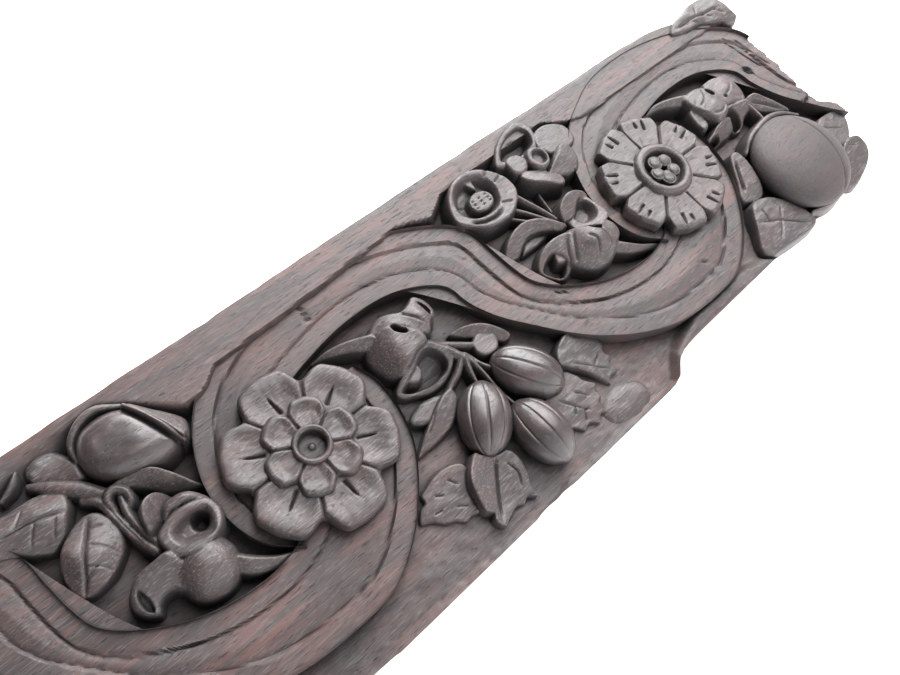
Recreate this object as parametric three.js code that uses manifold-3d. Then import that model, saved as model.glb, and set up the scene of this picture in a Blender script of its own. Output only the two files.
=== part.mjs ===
// Carved oak frieze panel: one plank carved with a running scroll, two rosettes, fruit, flowers and leaves.
//
// The panel is carved flat on the bench and then stood up on the wall. On the bench a point is (u, v, h):
// u runs along the plank, v across it and h is the height above the plank's back. u = 0, v = 0 is the centre
// of the large six-petalled rosette. On the wall +X is along the panel, +Z is up and the carving faces -Y,
// with the origin in the middle of the flat back.
import * as THREE from 'three';
import { mergeVertices } from 'three/addons/utils/BufferGeometryUtils.js';
import Module from 'manifold-3d';

const wasm = await Module();
wasm.setup();

// ---------------------------------------------------------------- driving dimensions, millimetres and degrees
const LEFT_END = -166; // the square-cut end
const RIGHT_END = 415; // the broken end, without its splinters
const TOP_EDGE = 83.5;
const BOTTOM_EDGE = -97.5;
const MIDDLE = [(LEFT_END + RIGHT_END) / 2, (TOP_EDGE + BOTTOM_EDGE) / 2]; // where the wall's frame has its origin

const GROUND = 14; // the cut-back background of the carving
const FACE = 26; // the scroll's raised edges and the plain margin
const SUNK = GROUND - 4; // how deep a carved piece is rooted in the plank

const PERIOD = 270; // from one rosette to the next
const ROSETTE = [-1, -1];
const ROSETTE_REACH = 43; // radius of its outer petals
const INNER_REACH = 24.5; // radius of its inner petals
const RING_RADIUS = 9.5;
const DAISY = [269.5, -0.5]; // the eight-petalled rosette
const DAISY_REACH = 40.5;
const BOWL_RADIUS = 18.5; // the bowl of seeds in its middle
const SCROLL_FILLET = 7; // the flat raised edge on both sides of the scroll
const SCROLL_HOLLOW = 3.2; // how far the scroll's middle lies below its edges

const PLUM_WIDTH = 29;
const PLUM_LENGTH = 39;
const PEACH_RADIUS = 34;
const PEACH_TOP = 37;
const FLOWER_REACH = 22; // radius of a small cupped flower
const STEM = 3.2; // half-width of a plain stem
const NAIL = { place: [392, 19], radius: 3.4, depth: 6 }; // the old nail hole near the broken end
const deg = THREE.MathUtils.degToRad;

// ---------------------------------------------------------------- from points to solids
const point = (u, v, h) => new THREE.Vector3(u, v, h);

// A closed solid through a row of rings, each a loop of equally many points, with a fan of triangles over both ends.
function loft(rings) {
  const around = rings[0].length;
  const middleOf = (ring) => ring.reduce((sum, p) => sum.add(p), point(0, 0, 0)).divideScalar(around);
  const points = [...rings.flat(), middleOf(rings[0]), middleOf(rings.at(-1))];
  const faces = [];
  for (let i = 0; i + 1 < rings.length; i++) {
    for (let j = 0; j < around; j++) {
      const [a, b] = [i * around + j, i * around + ((j + 1) % around)];
      faces.push(a, b, b + around, a, b + around, a + around);
    }
  }
  const lastRing = (rings.length - 1) * around;
  for (let j = 0; j < around; j++) {
    const next = (j + 1) % around;
    faces.push(points.length - 2, next, j);
    faces.push(points.length - 1, lastRing + j, lastRing + next);
  }
  const geometry = new THREE.BufferGeometry().setFromPoints(points);
  geometry.setIndex(faces);
  return solid(geometry);
}

// A geometry as a solid for cutting and joining, turned right way out if its rings ran the other way round.
function solid(geometry) {
  const bare = geometry.clone();
  bare.deleteAttribute('normal');
  bare.deleteAttribute('uv');
  const merged = mergeVertices(bare, 1e-4);
  const triVerts = new Uint32Array(merged.index.array);
  const vertProperties = new Float32Array(merged.attributes.position.array);
  const made = new wasm.Manifold(new wasm.Mesh({ numProp: 3, vertProperties, triVerts }));
  if (made.volume() > 0) return made;
  for (let i = 0; i < triVerts.length; i += 3) {
    [triVerts[i + 1], triVerts[i + 2]] = [triVerts[i + 2], triVerts[i + 1]];
  }
  return new wasm.Manifold(new wasm.Mesh({ numProp: 3, vertProperties, triVerts }));
}

const steps = (count) => Array.from({ length: count + 1 }, (_, i) => i / count);
const mix = THREE.MathUtils.lerp;
const smooth = (places) =>
  new THREE.CatmullRomCurve3(places.map(([u, v, h = 0]) => point(u, v, h)), false, 'centripetal');
const onCurve = (places, count) => smooth(places).getSpacedPoints(count);

// ---------------------------------------------------------------- the plank
function plankOutline() {
  const shape = new THREE.Shape();
  shape.moveTo(LEFT_END, BOTTOM_EDGE);
  shape.lineTo(176, BOTTOM_EDGE);
  shape.bezierCurveTo(187, BOTTOM_EDGE, 186, BOTTOM_EDGE + 11, 216, BOTTOM_EDGE + 12); // the trimmed step
  shape.lineTo(392, BOTTOM_EDGE + 13);
  shape.lineTo(404, -83); // from here up the broken end
  shape.lineTo(416, -77);
  shape.lineTo(419, -62);
  shape.lineTo(427, -44);
  shape.lineTo(426, -36);
  shape.lineTo(RIGHT_END, -27);
  shape.lineTo(RIGHT_END + 1, 30);
  shape.lineTo(416, 38);
  shape.lineTo(412, 53);
  shape.lineTo(420, 57); // the leaf that reaches past the corner
  shape.lineTo(418.5, 68);
  shape.quadraticCurveTo(414, 78, 402, 79);
  shape.lineTo(384, 75);
  shape.quadraticCurveTo(360, 83, 325, TOP_EDGE); // the worn top corner
  shape.lineTo(LEFT_END, TOP_EDGE);
  return shape;
}

const prism = (shape, height) =>
  solid(new THREE.ExtrudeGeometry(shape, { depth: height, bevelEnabled: false, curveSegments: 6 }));

// The uncarved strip along an edge: flat at `height`, then sloping to the ground over `slope`.
// `inner` lists where its flat part ends, as [u, v] from left to right.
function margin(edge, inner, height, slope) {
  const inward = Math.sign(inner[0][1] - edge); // towards the carving
  return loft(inner.map(([u, v]) => [
    point(u, edge, 0),
    point(u, edge, height),
    point(u, v, height),
    point(u, v + inward * slope, GROUND - 1),
    point(u, v + inward * slope, 0),
  ]));
}

// ---------------------------------------------------------------- the running scroll
// One S of the scroll, from behind its own rosette at 0, 0 over the crown, down past the knee, along the trough
// and up behind the next rosette: each row holds the places of its outer and its inner edge, side by side.
const SCROLL_EDGES = [
  [[-31, -35], [-12, -20]], [[-45, -20], [-14, -13]], [[-50, 0], [-14, -1]], [[-48, 20], [-12, 13]],
  [[-38, 41], [-4, 24]], [[-22, 58], [7, 30]], [[-4, 68], [19, 34.5]], [[16, 76], [32, 37.5]],
  [[40, 79], [46, 40]], [[64, 78.5], [60, 41]], [[86, 75], [75, 40.5]], [[106, 69], [89, 37.5]],
  [[124, 61], [101, 32]], [[139, 51], [109, 26]], [[146, 40], [112.5, 20]], [[147.5, 24], [113.5, 12]],
  [[149, 10], [116.5, 3]], [[152, -2], [123, -9]], [[159, -11], [133, -22]], [[171, -20], [146, -38]],
  [[186, -28], [161, -52]], [[204, -33], [181, -65]], [[224, -34], [204, -74]], [[240, -30], [232, -77]],
  [[252, -22], [258, -75]], [[262, -16], [280, -63]], [[270, -8], [297, -47]], [[276, 2], [310, -29]],
  [[280, 10], [316, -10]], [[284, 18], [317, 6]], [[290, 22], [313, 20]],
];

function scroll(origin) {
  const [outer, inner] = [0, 1].map((side) => smooth(SCROLL_EDGES.map((row) => row[side])));
  const count = SCROLL_EDGES.length - 1;
  return loft(steps(count).map((t) => {
    const [a, b] = [outer.getPoint(t), inner.getPoint(t)];
    const fillet = Math.min(SCROLL_FILLET / a.distanceTo(b), 0.3); // as a share of the band's width here
    const bend = [[0, SUNK], [0, FACE], [fillet, FACE], [mix(fillet, 0.5, 0.45), FACE - SCROLL_HOLLOW],
      [mix(fillet, 0.5, 1.55), FACE - SCROLL_HOLLOW], [1 - fillet, FACE], [1, FACE], [1, SUNK]];
    return bend.map(([share, h]) => point(mix(a.x, b.x, share) + origin[0], mix(a.y, b.y, share) + origin[1], h));
  }));
}

// ---------------------------------------------------------------- rosettes
// A whorl of round petals: how far its edge is from the centre in direction `angle`.
function petalEdge(angle, { petals, reach, turn = 0 }) {
  const step = (2 * Math.PI) / petals;
  const off = THREE.MathUtils.euclideanModulo(angle - turn + step / 2, step) - step / 2;
  const radius = reach * Math.sin(step / 2) * 0.86; // of one petal's own arc
  const middle = reach - radius;
  return middle * Math.cos(off) + Math.sqrt(radius ** 2 - (middle * Math.sin(off)) ** 2);
}

// Rings of points around `centre`; each level is [share of the edge's distance, height].
function whorl(centre, edge, levels, count) {
  return loft(levels.map(([share, h]) => steps(count).slice(1).map((s) => {
    const angle = s * 2 * Math.PI;
    const r = edge(angle) * share;
    return point(centre[0] + r * Math.cos(angle), centre[1] + r * Math.sin(angle), h);
  })));
}

const round = (radius) => () => radius;

function rosette() {
  const outer = { petals: 6, reach: ROSETTE_REACH, turn: deg(30) };
  const inner = { petals: 6, reach: INNER_REACH };
  return [
    whorl(ROSETTE, (a) => petalEdge(a, outer), [[0.88, SUNK], [1, 28.4], [0.95, 30.6], [0.62, 29]], 48),
    whorl(ROSETTE, (a) => petalEdge(a, inner), [[0.9, SUNK], [1, 31], [0.9, 32.6], [0.5, 31]], 30),
    whorl(ROSETTE, round(RING_RADIUS), [[1, SUNK], [1, 33.8], [0.88, 34.6], [0.72, 34], [0.66, 28]], 16),
  ];
}

function daisy() {
  const petals = { petals: 8, reach: DAISY_REACH, turn: deg(20) };
  const seeds = [70, 190, 310].map((angle) => {
    const centre = [DAISY[0] + 5.6 * Math.cos(deg(angle)), DAISY[1] + 5.6 * Math.sin(deg(angle))];
    return whorl(centre, round(5.4), [[1, SUNK], [1, 31], [0.55, 33.2]], 8);
  });
  return [
    whorl(DAISY, (a) => petalEdge(a, petals), [[0.9, SUNK], [1, 27.6], [0.95, 29.6], [0.55, 28.2]], 48),
    whorl(DAISY, round(BOWL_RADIUS), [[0.92, SUNK], [1, 30], [0.86, 33.6], [0.72, 33], [0.62, 27.5]], 16),
    ...seeds,
  ];
}

// ---------------------------------------------------------------- fruit and small flowers
// A plum lying on the ground, grooved from end to end: `length` along its axis, turned by `turn` from +u.
function plum([u, v], length, width, turn, top) {
  const grooves = [35, 75, 110, 150].map(deg);
  const rings = steps(6).map((t) => {
    const along = -Math.cos(Math.PI * mix(0.06, 0.94, t));
    const girth = Math.sqrt(1 - along ** 2);
    return steps(10).slice(1).map((s) => {
      const angle = s * 2 * Math.PI;
      const nearest = Math.min(...grooves.map((g) => Math.abs(angle - g)));
      const r = girth * (nearest < 0.1 ? 0.93 : 1);
      const side = (r * Math.cos(angle) * width) / 2;
      const place = point((along * length) / 2, side, 0).applyAxisAngle(point(0, 0, 1), turn);
      return point(u + place.x, v + place.y, mix(GROUND, top, 0.42) + r * Math.sin(angle) * (top - GROUND) * 0.58);
    });
  });
  return loft(rings);
}

// A round fruit cut in half by the ground, with a bulging side.
const dome = ([u, v], radius, top, count) =>
  whorl([u, v], round(radius), [
    [0.9, SUNK], [1, mix(GROUND, top, 0.36)], [0.93, mix(GROUND, top, 0.68)],
    [0.7, mix(GROUND, top, 0.9)], [0.3, top],
  ], count);

// A cupped flower with five petals and a button in the middle.
function cupFlower(centre, reach, turn) {
  const petals = { petals: 5, reach, turn };
  return [
    whorl(centre, (a) => petalEdge(a, petals), [[0.84, SUNK], [1, 27], [0.9, 28.2], [0.5, 21]], 25),
    whorl(centre, round(reach * 0.37), [[1, SUNK], [1, 25], [0.8, 26.2]], 10),
  ];
}

// ---------------------------------------------------------------- stems, lips and leaves
// A tapering stroke along a bent line: half-width and height from tables read by their share of the length.
const along = (list, t) => {
  const at = t * (list.length - 1);
  const i = Math.min(Math.floor(at), list.length - 2);
  return mix(list[i], list[i + 1], at - i);
};

function stroke(places, halfWidths, tops, count = 4) {
  const line = onCurve(places, count);
  return loft(line.map((p, i) => {
    const t = i / count;
    const ahead = line[Math.min(i + 1, count)].clone().sub(line[Math.max(i - 1, 0)]).normalize();
    const [w, top] = [along(halfWidths, t), along(tops, t)];
    const section = [[-w, SUNK], [-w, top - 1.5], [0, top], [w, top - 1.5], [w, SUNK]];
    return section.map(([side, h]) => point(p.x - ahead.y * side, p.y + ahead.x * side, h));
  }));
}

// A leaf from its stalk to its tip. `rise` is the height of stalk, middle and tip; a creased leaf is lower
// along its middle line, and `teeth` notches its edge.
function leaf({ from, to, width, bend = 0, rise = [19, 21, 18], crease = 1.4, teeth = 0, blunt = 0.9, count = 5 }) {
  const [a, b] = [point(...from, 0), point(...to, 0)];
  const run = b.clone().sub(a);
  const side = point(-run.y, run.x, 0).normalize();
  return loft(steps(count).map((t) => {
    const arch = Math.sin(Math.PI * t);
    const middle = a.clone().addScaledVector(run, t).addScaledVector(side, bend * arch);
    const tooth = teeth ? 1 - 0.16 * (Math.round(t * count) % 2) : 1;
    const half = Math.max(0.8, (width / 2) * Math.sin(Math.PI * mix(0.04, 0.97, t)) ** blunt * tooth);
    const h = along(rise, t);
    const section = [[-0.86, SUNK], [-1, h - 1], [-0.5, h + 0.4], [0, h - crease],
      [0.5, h + 0.4], [1, h - 1], [0.86, SUNK]];
    return section.map(([share, height]) => middle.clone().addScaledVector(side, share * half).setZ(height));
  }));
}

// ---------------------------------------------------------------- the four cells between the scrolls
// A husk: a bulb with rolled lips, fed by a pointed stem from where two scrolls meet.
const bulb = (centre, radius, top) => dome(centre, radius, top, 9);

function leftCell() {
  return [
    stroke([[-34, -34], [-48, -31], [-62, -21]], [1.2, 4, 5], [20, 24, 26]),
    bulb([-68, -11], 13, 30),
    bulb([-84, -5], 9.5, 27),
    stroke([[-84, 1], [-95, 1], [-100, -6], [-97, -14]], [3, 4, 4.5, 2.5], [26, 28, 27, 22]),
    stroke([[-76, 6], [-72, 22], [-60, 19], [-51, 9]], [4, 5, 4.5, 2], [24, 26, 27, 22]),
    stroke([[-78, -4], [-82, 14], [-86, 34], [-84, 44]], [STEM, STEM + 1, STEM + 1, STEM], [22, 22, 22, 22]),
    stroke([[-78, 8], [-78, 26], [-80, 38], [-74, 38]], [2.5, 3, 4, 3], [22, 23, 26, 23]),
    leaf({ from: [-80, 42], to: [-49, 20], width: 10, bend: 2, rise: [22, 23, 19], crease: 0.2 }),
    leaf({ from: [-80, 46], to: [-106, 68], width: 13, bend: -2, rise: [20, 22, 21], crease: 0.2 }),
    leaf({ from: [-86, 41], to: [-116, 11], width: 27, bend: 1, rise: [21, 24.5, 21] }),
    leaf({ from: [-93, 49], to: [-136, 45], width: 26, bend: 3, rise: [21, 26, 27] }),
    dome([-67, 57], 20, 32, 16),
    stroke([[-86, 64], [-79, 74], [-66, 77], [-54, 71]], [1.6, 2.6, 2.6, 1.5], [22, 26, 27, 24]),
    stroke([[-54, 70], [-46, 60], [-43, 48], [-46, 38]], [1.6, 3, 3, 1.5], [25, 27, 26, 22]),
  ];
}

function plumCell() {
  const hub = [90, -11];
  return [
    stroke([[30, 36], [44, 31], [58, 23]], [1.2, 3.6, 5], [22, 25, 27]),
    bulb([64, 13], 13.5, 30.5),
    bulb([74, 21], 9, 29),
    stroke([[77, 15], [84, 13], [92, 17], [91, 26]], [4, 5, 5, 3], [27, 28, 27, 23]),
    stroke([[79, 5], [66, 1], [56, -3], [54, -9]], [2, 4, 5, 3], [26, 28, 26, 20]),
    stroke([[74, 10], [83, 1], [86, -8], hub], [4, 3.4, 3, 3.5], [27, 25, 23, 22]),
    stroke([hub, [80, -17], [66, -24]], [2.6, 2.2, 1.6], [22, 20, 19]),
    stroke([hub, [88, -22], [84, -30]], [2.2, 2, 1.8], [22, 21, 21]),
    stroke([hub, [93, -30], [94, -52]], [2.2, 2, 1.8], [22, 21, 22]),
    stroke([hub, [96, -18], [102, -28]], [2.6, 2.2, 2], [22, 21, 22]),
    plum([77, -43], PLUM_LENGTH, PLUM_WIDTH, deg(52), 32),
    plum([113, -39], PLUM_LENGTH + 1, PLUM_WIDTH, deg(-58), 31),
    plum([95.5, -67], PLUM_LENGTH, PLUM_WIDTH - 1, deg(92), 32.5),
    leaf({ from: [72, -22], to: [40, -33], width: 18, bend: 2, rise: [18, 20, 18] }),
    leaf({ from: [92, 1], to: [120, -19], width: 12, bend: 2, rise: [18, 20, 18], crease: 0.4 }),
    bulb([105, -13], 7, 20),
    leaf({ from: [50, -53], to: [17, -65], width: 27, rise: [18, 19, 18], teeth: 1, blunt: 0.5, count: 8 }),
    leaf({ from: [66, -60], to: [46, -90], width: 32, bend: -2, rise: [19, 20, 18.5], teeth: 1, blunt: 0.5, count: 8 }),
    leaf({ from: [108, -57], to: [134, -81], width: 30, rise: [18, 19, 18], teeth: 1, blunt: 0.5, count: 8 }),
    leaf({ from: [125, -46], to: [156, -62], width: 27, rise: [19, 22, 18], crease: 0.6, teeth: 1, blunt: 0.5, count: 8 }),
  ];
}

function flowerCell() {
  const hub = [194, 12];
  return [
    stroke([[239, -33], [224, -29], [208, -17]], [1.2, 3.6, 5], [20, 24, 26]),
    bulb([206, -9], 12, 30),
    bulb([191, -6], 12.5, 30),
    stroke([[186, 5], [175, 5], [166, -1], [168, -8]], [2, 4.5, 5.5, 3], [24, 27, 26, 20]),
    stroke([[199, 3], [203, 12], [211, 17], [217, 10]], [3, 4, 4, 2], [25, 27, 26, 20]),
    stroke([[193, 0], [194, 8], hub], [4, 3, 3], [26, 23, 21]),
    stroke([hub, [188, 26], [181, 42]], [1.8, 2, 2], [20, 21, 22]),
    stroke([hub, [184, 23], [172, 37]], [1.6, 1.8, 1.8], [20, 20, 20]),
    stroke([hub, [196, 26], [204, 42]], [1.6, 1.8, 1.8], [18, 18, 18]),
    leaf({ from: [193, 12], to: [149, 14], width: 13, bend: 6, rise: [20, 24, 21], crease: 0.3 }),
    ...cupFlower([164, 53], FLOWER_REACH + 1, deg(90)),
    ...cupFlower([212, 56], FLOWER_REACH, deg(110)),
  ];
}

function peachCell() {
  const hub = [364, 0];
  const suture = [[372, -16, 36], [379, -30, 37.5], [380, -50, 37.2], [374, -70, 34], [362, -84, 27]];
  const groove = loft(onCurve(suture, 10).map((p) => [[-1.4, 0], [0, -1.8], [1.4, 0], [0, 2]]
    .map(([du, dh]) => point(p.x + du, p.y, p.z + dh - 1.2))));
  return [
    stroke([[302, 34], [316, 31], [332, 24]], [1.2, 3.4, 4.5], [22, 25, 27]),
    bulb([338, 17], 12, 29.5),
    stroke([[342, 22], [354, 24], [364, 21], [366, 13]], [4, 5.5, 5, 2.5], [27, 28, 27, 21]),
    stroke([[334, 8], [324, 12], [321, 2]], [3, 4, 2], [25, 25, 19]),
    stroke([[348, 3], [336, -1], [324, -4], [318, -7]], [2, 3.6, 4, 2.5], [25, 27, 25, 20]),
    stroke([[346, 12], [356, 5], hub], [4, 3.6, 4], [27, 25, 24]),
    stroke([hub, [364, -9], [363, -18]], [2.6, 2.4, 2.2], [24, 25, 26]),
    leaf({ from: hub, to: [392, -20], width: 9, bend: 1, rise: [23, 24, 20], crease: 0.2 }),
    dome([360, -50], PEACH_RADIUS, PEACH_TOP, 24).subtract(groove),
    leaf({ from: [320, -24], to: [312, -52], width: 15, rise: [22, 21, 20], crease: 0.4 }),
    leaf({ from: [326, -60], to: [284, -79], width: 27, bend: 2, rise: [20, 23, 20] }),
    leaf({ from: [393, -45], to: [430, -40], width: 13, rise: [22, 24, 21] }),
    leaf({ from: [391, -56], to: [421, -66], width: 17, rise: [22, 23, 20] }),
    leaf({ from: [366, 66], to: [424, 65], width: 22, bend: 1, rise: [26, 28.5, 27], crease: 0.6, blunt: 0.6 }),
  ];
}

// ---------------------------------------------------------------- the whole panel
// Where the flat part of each uncarved margin ends, and how much lower than the scroll's edges the two lie.
const TOP_MARGIN = [
  [LEFT_END, 77], [-62, 78], [-34, 70], [-8, 68], [112, 68], [150, 70], [240, 70], [300, 74], [RIGHT_END, 74],
];
const LOW_MARGIN = [[186, -82], [214, -77], [262, -76], [292, -84]];
const TOP_DROP = 0.5;
const LOW_DROP = 3;

function panel() {
  const nailHole = whorl(NAIL.place, round(NAIL.radius), [[1, FACE - NAIL.depth], [1, FACE + 4]], 12);
  const raised = [
    margin(TOP_EDGE, TOP_MARGIN, FACE - TOP_DROP, 7),
    margin(BOTTOM_EDGE, LOW_MARGIN, FACE - LOW_DROP, 5),
    ...[-1, 0, 1].map((n) => scroll([n * PERIOD, 0])),
    ...rosette(),
    ...daisy(),
    ...leftCell(),
    ...plumCell(),
    ...flowerCell(),
    ...peachCell(),
  ];
  const bounds = prism(plankOutline(), 60);
  const carved = wasm.Manifold.union([prism(plankOutline(), GROUND), ...raised]);
  const shells = carved.intersect(bounds).subtract(nailHole).decompose();
  return shells.sort((a, b) => b.volume() - a.volume())[0]; // the outer skin, so no pocket is left inside
}

function geometryOf(made) {
  const { vertProperties, triVerts, numProp } = made.getMesh();
  const corners = [...triVerts].map((i) => point(...vertProperties.slice(i * numProp, i * numProp + 3)));
  const geometry = new THREE.BufferGeometry().setFromPoints(corners);
  geometry.computeVertexNormals();
  return geometry.translate(-MIDDLE[0], -MIDDLE[1], 0);
}

const oak = new THREE.MeshStandardMaterial({ name: 'oak', color: 0x3d3130, roughness: 0.5, metalness: 0 });

const carvedPanel = new THREE.Mesh(geometryOf(panel()), oak);
carvedPanel.name = 'carved_panel';
carvedPanel.rotation.x = Math.PI / 2; // off the bench and on to the wall

const group = new THREE.Group();
group.add(carvedPanel);

export default group;
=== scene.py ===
"""Carved oak frieze panel: the finished carving around its fixed frame.

The carving is laid out on the bench in millimetres as (u, v, h): u along the plank, v across it and h above
its back, with u = 0, v = 0 at the centre of the six-petalled rosette. On the wall +X is along the panel,
+Z is up and the carving faces -Y.
"""

import math
from contextlib import contextmanager
from functools import partial
from itertools import product

import bmesh
import bpy
import numpy as np
from bpy.props import FloatProperty, FloatVectorProperty, IntProperty
from mathutils import Matrix, Vector


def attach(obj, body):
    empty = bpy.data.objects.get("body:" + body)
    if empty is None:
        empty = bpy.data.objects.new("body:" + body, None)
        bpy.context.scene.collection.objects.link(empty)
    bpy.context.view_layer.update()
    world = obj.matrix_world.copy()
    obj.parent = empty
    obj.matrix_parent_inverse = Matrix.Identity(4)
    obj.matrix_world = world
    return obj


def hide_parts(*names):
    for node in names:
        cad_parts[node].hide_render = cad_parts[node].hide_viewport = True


bl_info = {
    "name": "Carved frieze panel",
    "version": (1, 0, 0),
    "blender": (4, 5, 0),
    "location": "3D View > Sidebar > Frieze",
    "description": "Builds a carved oak frieze panel with scrolls, rosettes, fruit, flowers and leaves",
    "category": "Add Mesh",
}

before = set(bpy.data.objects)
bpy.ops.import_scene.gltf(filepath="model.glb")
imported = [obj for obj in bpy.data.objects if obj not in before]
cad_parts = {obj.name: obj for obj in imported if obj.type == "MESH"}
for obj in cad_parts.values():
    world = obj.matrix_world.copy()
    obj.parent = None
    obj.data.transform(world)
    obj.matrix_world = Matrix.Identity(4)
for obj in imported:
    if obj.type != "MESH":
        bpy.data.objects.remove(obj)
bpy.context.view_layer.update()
NODE = "carved_panel"
BODY = "root"
CRISP, SOFT = 42, 70  # degrees at which an edge starts to look sharp

# ---- the plank on the bench, millimetres
MM = 0.001
MERGE = 1e-6  # metres within which points are one
LEFT_END, RIGHT_END = -166.0, 415.0
TOP_EDGE, BOTTOM_EDGE = 83.5, -97.5
MIDDLE = ((LEFT_END + RIGHT_END) / 2, (TOP_EDGE + BOTTOM_EDGE) / 2)
GROUND = 14.0
FACE = 26.0
ROOT = GROUND - 3.0  # how deep a carved piece is let into the plank
CLEAR = 60.0  # a level above all of the carving
PERIOD = 270.0
ROSE = (-1.0, -1.0)
DAISY = (269.5, -0.5)


# ---- settings
class FriezePlank(bpy.types.PropertyGroup):
    """The plank and its cut-back ground."""

    grid: FloatProperty(name="Grid", description="Spacing of the plank's surface points", default=1.15 * MM,
            unit="LENGTH")
    adze: FloatProperty(name="Tool marks", description="Depth of the gouge marks on the ground",
            default=0.7 * MM, unit="LENGTH")
    chips: FloatProperty(name="Chipped arris", description="How far the long edges are worn down",
            default=1.6 * MM, unit="LENGTH")


class FriezeScroll(bpy.types.PropertyGroup):
    """The running scroll between the carved cells."""

    fillet: FloatProperty(name="Fillet", description="Width of the raised edge on each side",
            default=8.4 * MM, unit="LENGTH")
    hollow: FloatProperty(name="Hollow", description="Depth of the scroll's floor under its raised edges",
            default=5.0 * MM, unit="LENGTH")
    along: IntProperty(name="Steps along", description="Points along one S of the scroll", default=400)
    across: IntProperty(name="Steps across", description="Points across the moulding", default=84)


class FriezeFlowers(bpy.types.PropertyGroup):
    """The rosettes and the small flowers."""

    outer_petals: IntProperty(name="Outer petals", description="Petals in the large rosette's outer whorl",
            default=6)
    inner_petals: IntProperty(name="Inner petals", description="Petals in the large rosette's inner whorl",
            default=6)
    daisy_petals: IntProperty(name="Daisy petals", description="Petals of the second rosette", default=8)
    reach: FloatProperty(name="Reach", description="Radius of the large rosette", default=43 * MM,
            unit="LENGTH")
    daisy_reach: FloatProperty(name="Daisy reach", description="Radius of the second rosette",
            default=41 * MM, unit="LENGTH")


class FriezeFinish(bpy.types.PropertyGroup):
    """Colours of the stained oak, with its painted sheen and painted shade."""

    stain: FloatVectorProperty(name="Stain", description="The dark stain on the oak", subtype="COLOR",
            default=(0.034, 0.027, 0.028))
    warm: FloatVectorProperty(name="Warm grain", description="Reddish wood where the stain is thin",
            subtype="COLOR", default=(0.105, 0.050, 0.043))
    worn: FloatVectorProperty(name="Worn wood", description="Bare wood on rubbed edges", subtype="COLOR",
            default=(0.26, 0.20, 0.155))
    # painted sheen: a light grey laid on the fibres in place of the reflection of the waxed surface, most on
    # the high carving
    painted_sheen: FloatVectorProperty(name="Silvering", description="Grey bloom on the fibres of the high carving",
            subtype="COLOR", default=(0.15, 0.14, 0.138))
    # near-black for the pores and for the painted shade laid into the recesses and creases, with old wax and
    # soot there
    grime_and_painted_shade: FloatVectorProperty(name="Grime", description="Old wax and soot in the recesses",
            subtype="COLOR", default=(0.004, 0.004, 0.005))


# ---- noise on the bench
SCATTER = (374761393, 668265263)  # large odd numbers that set neighbouring places far apart
STIR = 1274126177
WORD = 0xFFFFFFFF


def lattice(cells, seed):
    """Repeatable random numbers from 0 to 1 for whole-number places."""
    n = (sum(c.astype(np.int64) * k for c, k in zip(cells, SCATTER)) + seed * STIR) & WORD
    n = ((n ^ (n >> 13)) * STIR) & WORD
    return ((n ^ (n >> 16)) & 0xFFFFFF) / float(0xFFFFFF)


def smooth(t):
    """0 at 0, 1 at 1 and level at both."""
    return t * t * (3 - 2 * t)


def noise(places, seed):
    """Smooth noise from -1 to 1 with features about one unit across."""
    cells = [np.floor(a) for a in places]
    fade = [smooth(a - c) for a, c in zip(places, cells)]
    total = 0.0
    for corner in product((0, 1), repeat=2):
        x, y = (f if far else 1 - f for f, far in zip(fade, corner))
        total = total + x * y * lattice([c + far for c, far in zip(cells, corner)], seed)
    return total * 2 - 1


def rough(u, v, size, octaves=3, seed=1):
    """Up to three layers of noise, the first `size` millimetres across and each next half as strong."""
    places = np.broadcast_arrays(*(np.asarray(a, float) for a in (u, v)))
    total, weight = 0.0, 1.0
    for i in range(octaves):
        total = total + weight * noise([a * (2.0 ** i / size) for a in places], seed + i)
        weight *= 0.5
    return total / (1 + 0.5 + 0.25)


def ease(x, low, high):
    """0 below low, 1 above high and smooth between."""
    return smooth(np.clip((np.asarray(x, float) - low) / (high - low), 0, 1))


# ---- from bench points to objects
def on_wall(points):
    """Bench millimetres to the row frame's metres."""
    p = np.asarray(points, float)
    return np.stack([p[..., 0] - MIDDLE[0], -p[..., 2], p[..., 1] - MIDDLE[1]], axis=-1) * MM


def on_bench(points):
    """The row frame's metres back to bench millimetres."""
    p = np.asarray(points, float) / MM
    return np.stack([p[..., 0] + MIDDLE[0], p[..., 2] + MIDDLE[1], -p[..., 1]], axis=-1)


def between(a, b, c, d, f):
    """The points a share f of the way from b to c, on the smooth curve through a, b, c and d."""
    return 0.5 * (2 * b + (c - a) * f + (2 * a - 5 * b + 4 * c - d) * f ** 2
                  + (3 * b - a - 3 * c + d) * f ** 3)


def spline(places, count):
    """Points at even steps of a smooth curve through the places, whose rows may hold any number of values."""
    p = np.asarray(places, float)
    if len(p) == 2:
        p = np.array([p[0], p.mean(axis=0), p[1]])
    ends = np.vstack([2 * p[0] - p[1], p, 2 * p[-1] - p[-2]])
    t = np.linspace(0, len(p) - 1, count)
    i = np.minimum(t.astype(int), len(p) - 2)
    f = (t - i)[:, None]
    return between(ends[i], ends[i + 1], ends[i + 2], ends[i + 3], f)


def closed(places, steps=7):
    """A smooth closed outline through the places."""
    p = np.asarray(places, float)
    t = np.linspace(0, len(p), len(p) * steps, endpoint=False)
    i = t.astype(int)
    line = between(p[i - 1], p[i], p[(i + 1) % len(p)], p[(i + 2) % len(p)], (t - i)[:, None])
    return np.vstack([line, line[:1]])


def loft(rings):
    """(points, faces) of the closed solid through an array of rings, shaped rows x around x 3."""
    rings = np.asarray(rings, float)
    rows, around = rings.shape[:2]
    i, j = np.meshgrid(np.arange(rows - 1), np.arange(around), indexing="ij")
    turn = (j + 1) % around
    faces = np.stack([i * around + j, i * around + turn, (i + 1) * around + turn, (i + 1) * around + j], -1)
    faces = faces.reshape(-1, 4).tolist()
    faces.append(list(range(around))[::-1])
    faces.append(list(range((rows - 1) * around, rows * around)))
    return rings.reshape(-1, 3), faces


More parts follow.
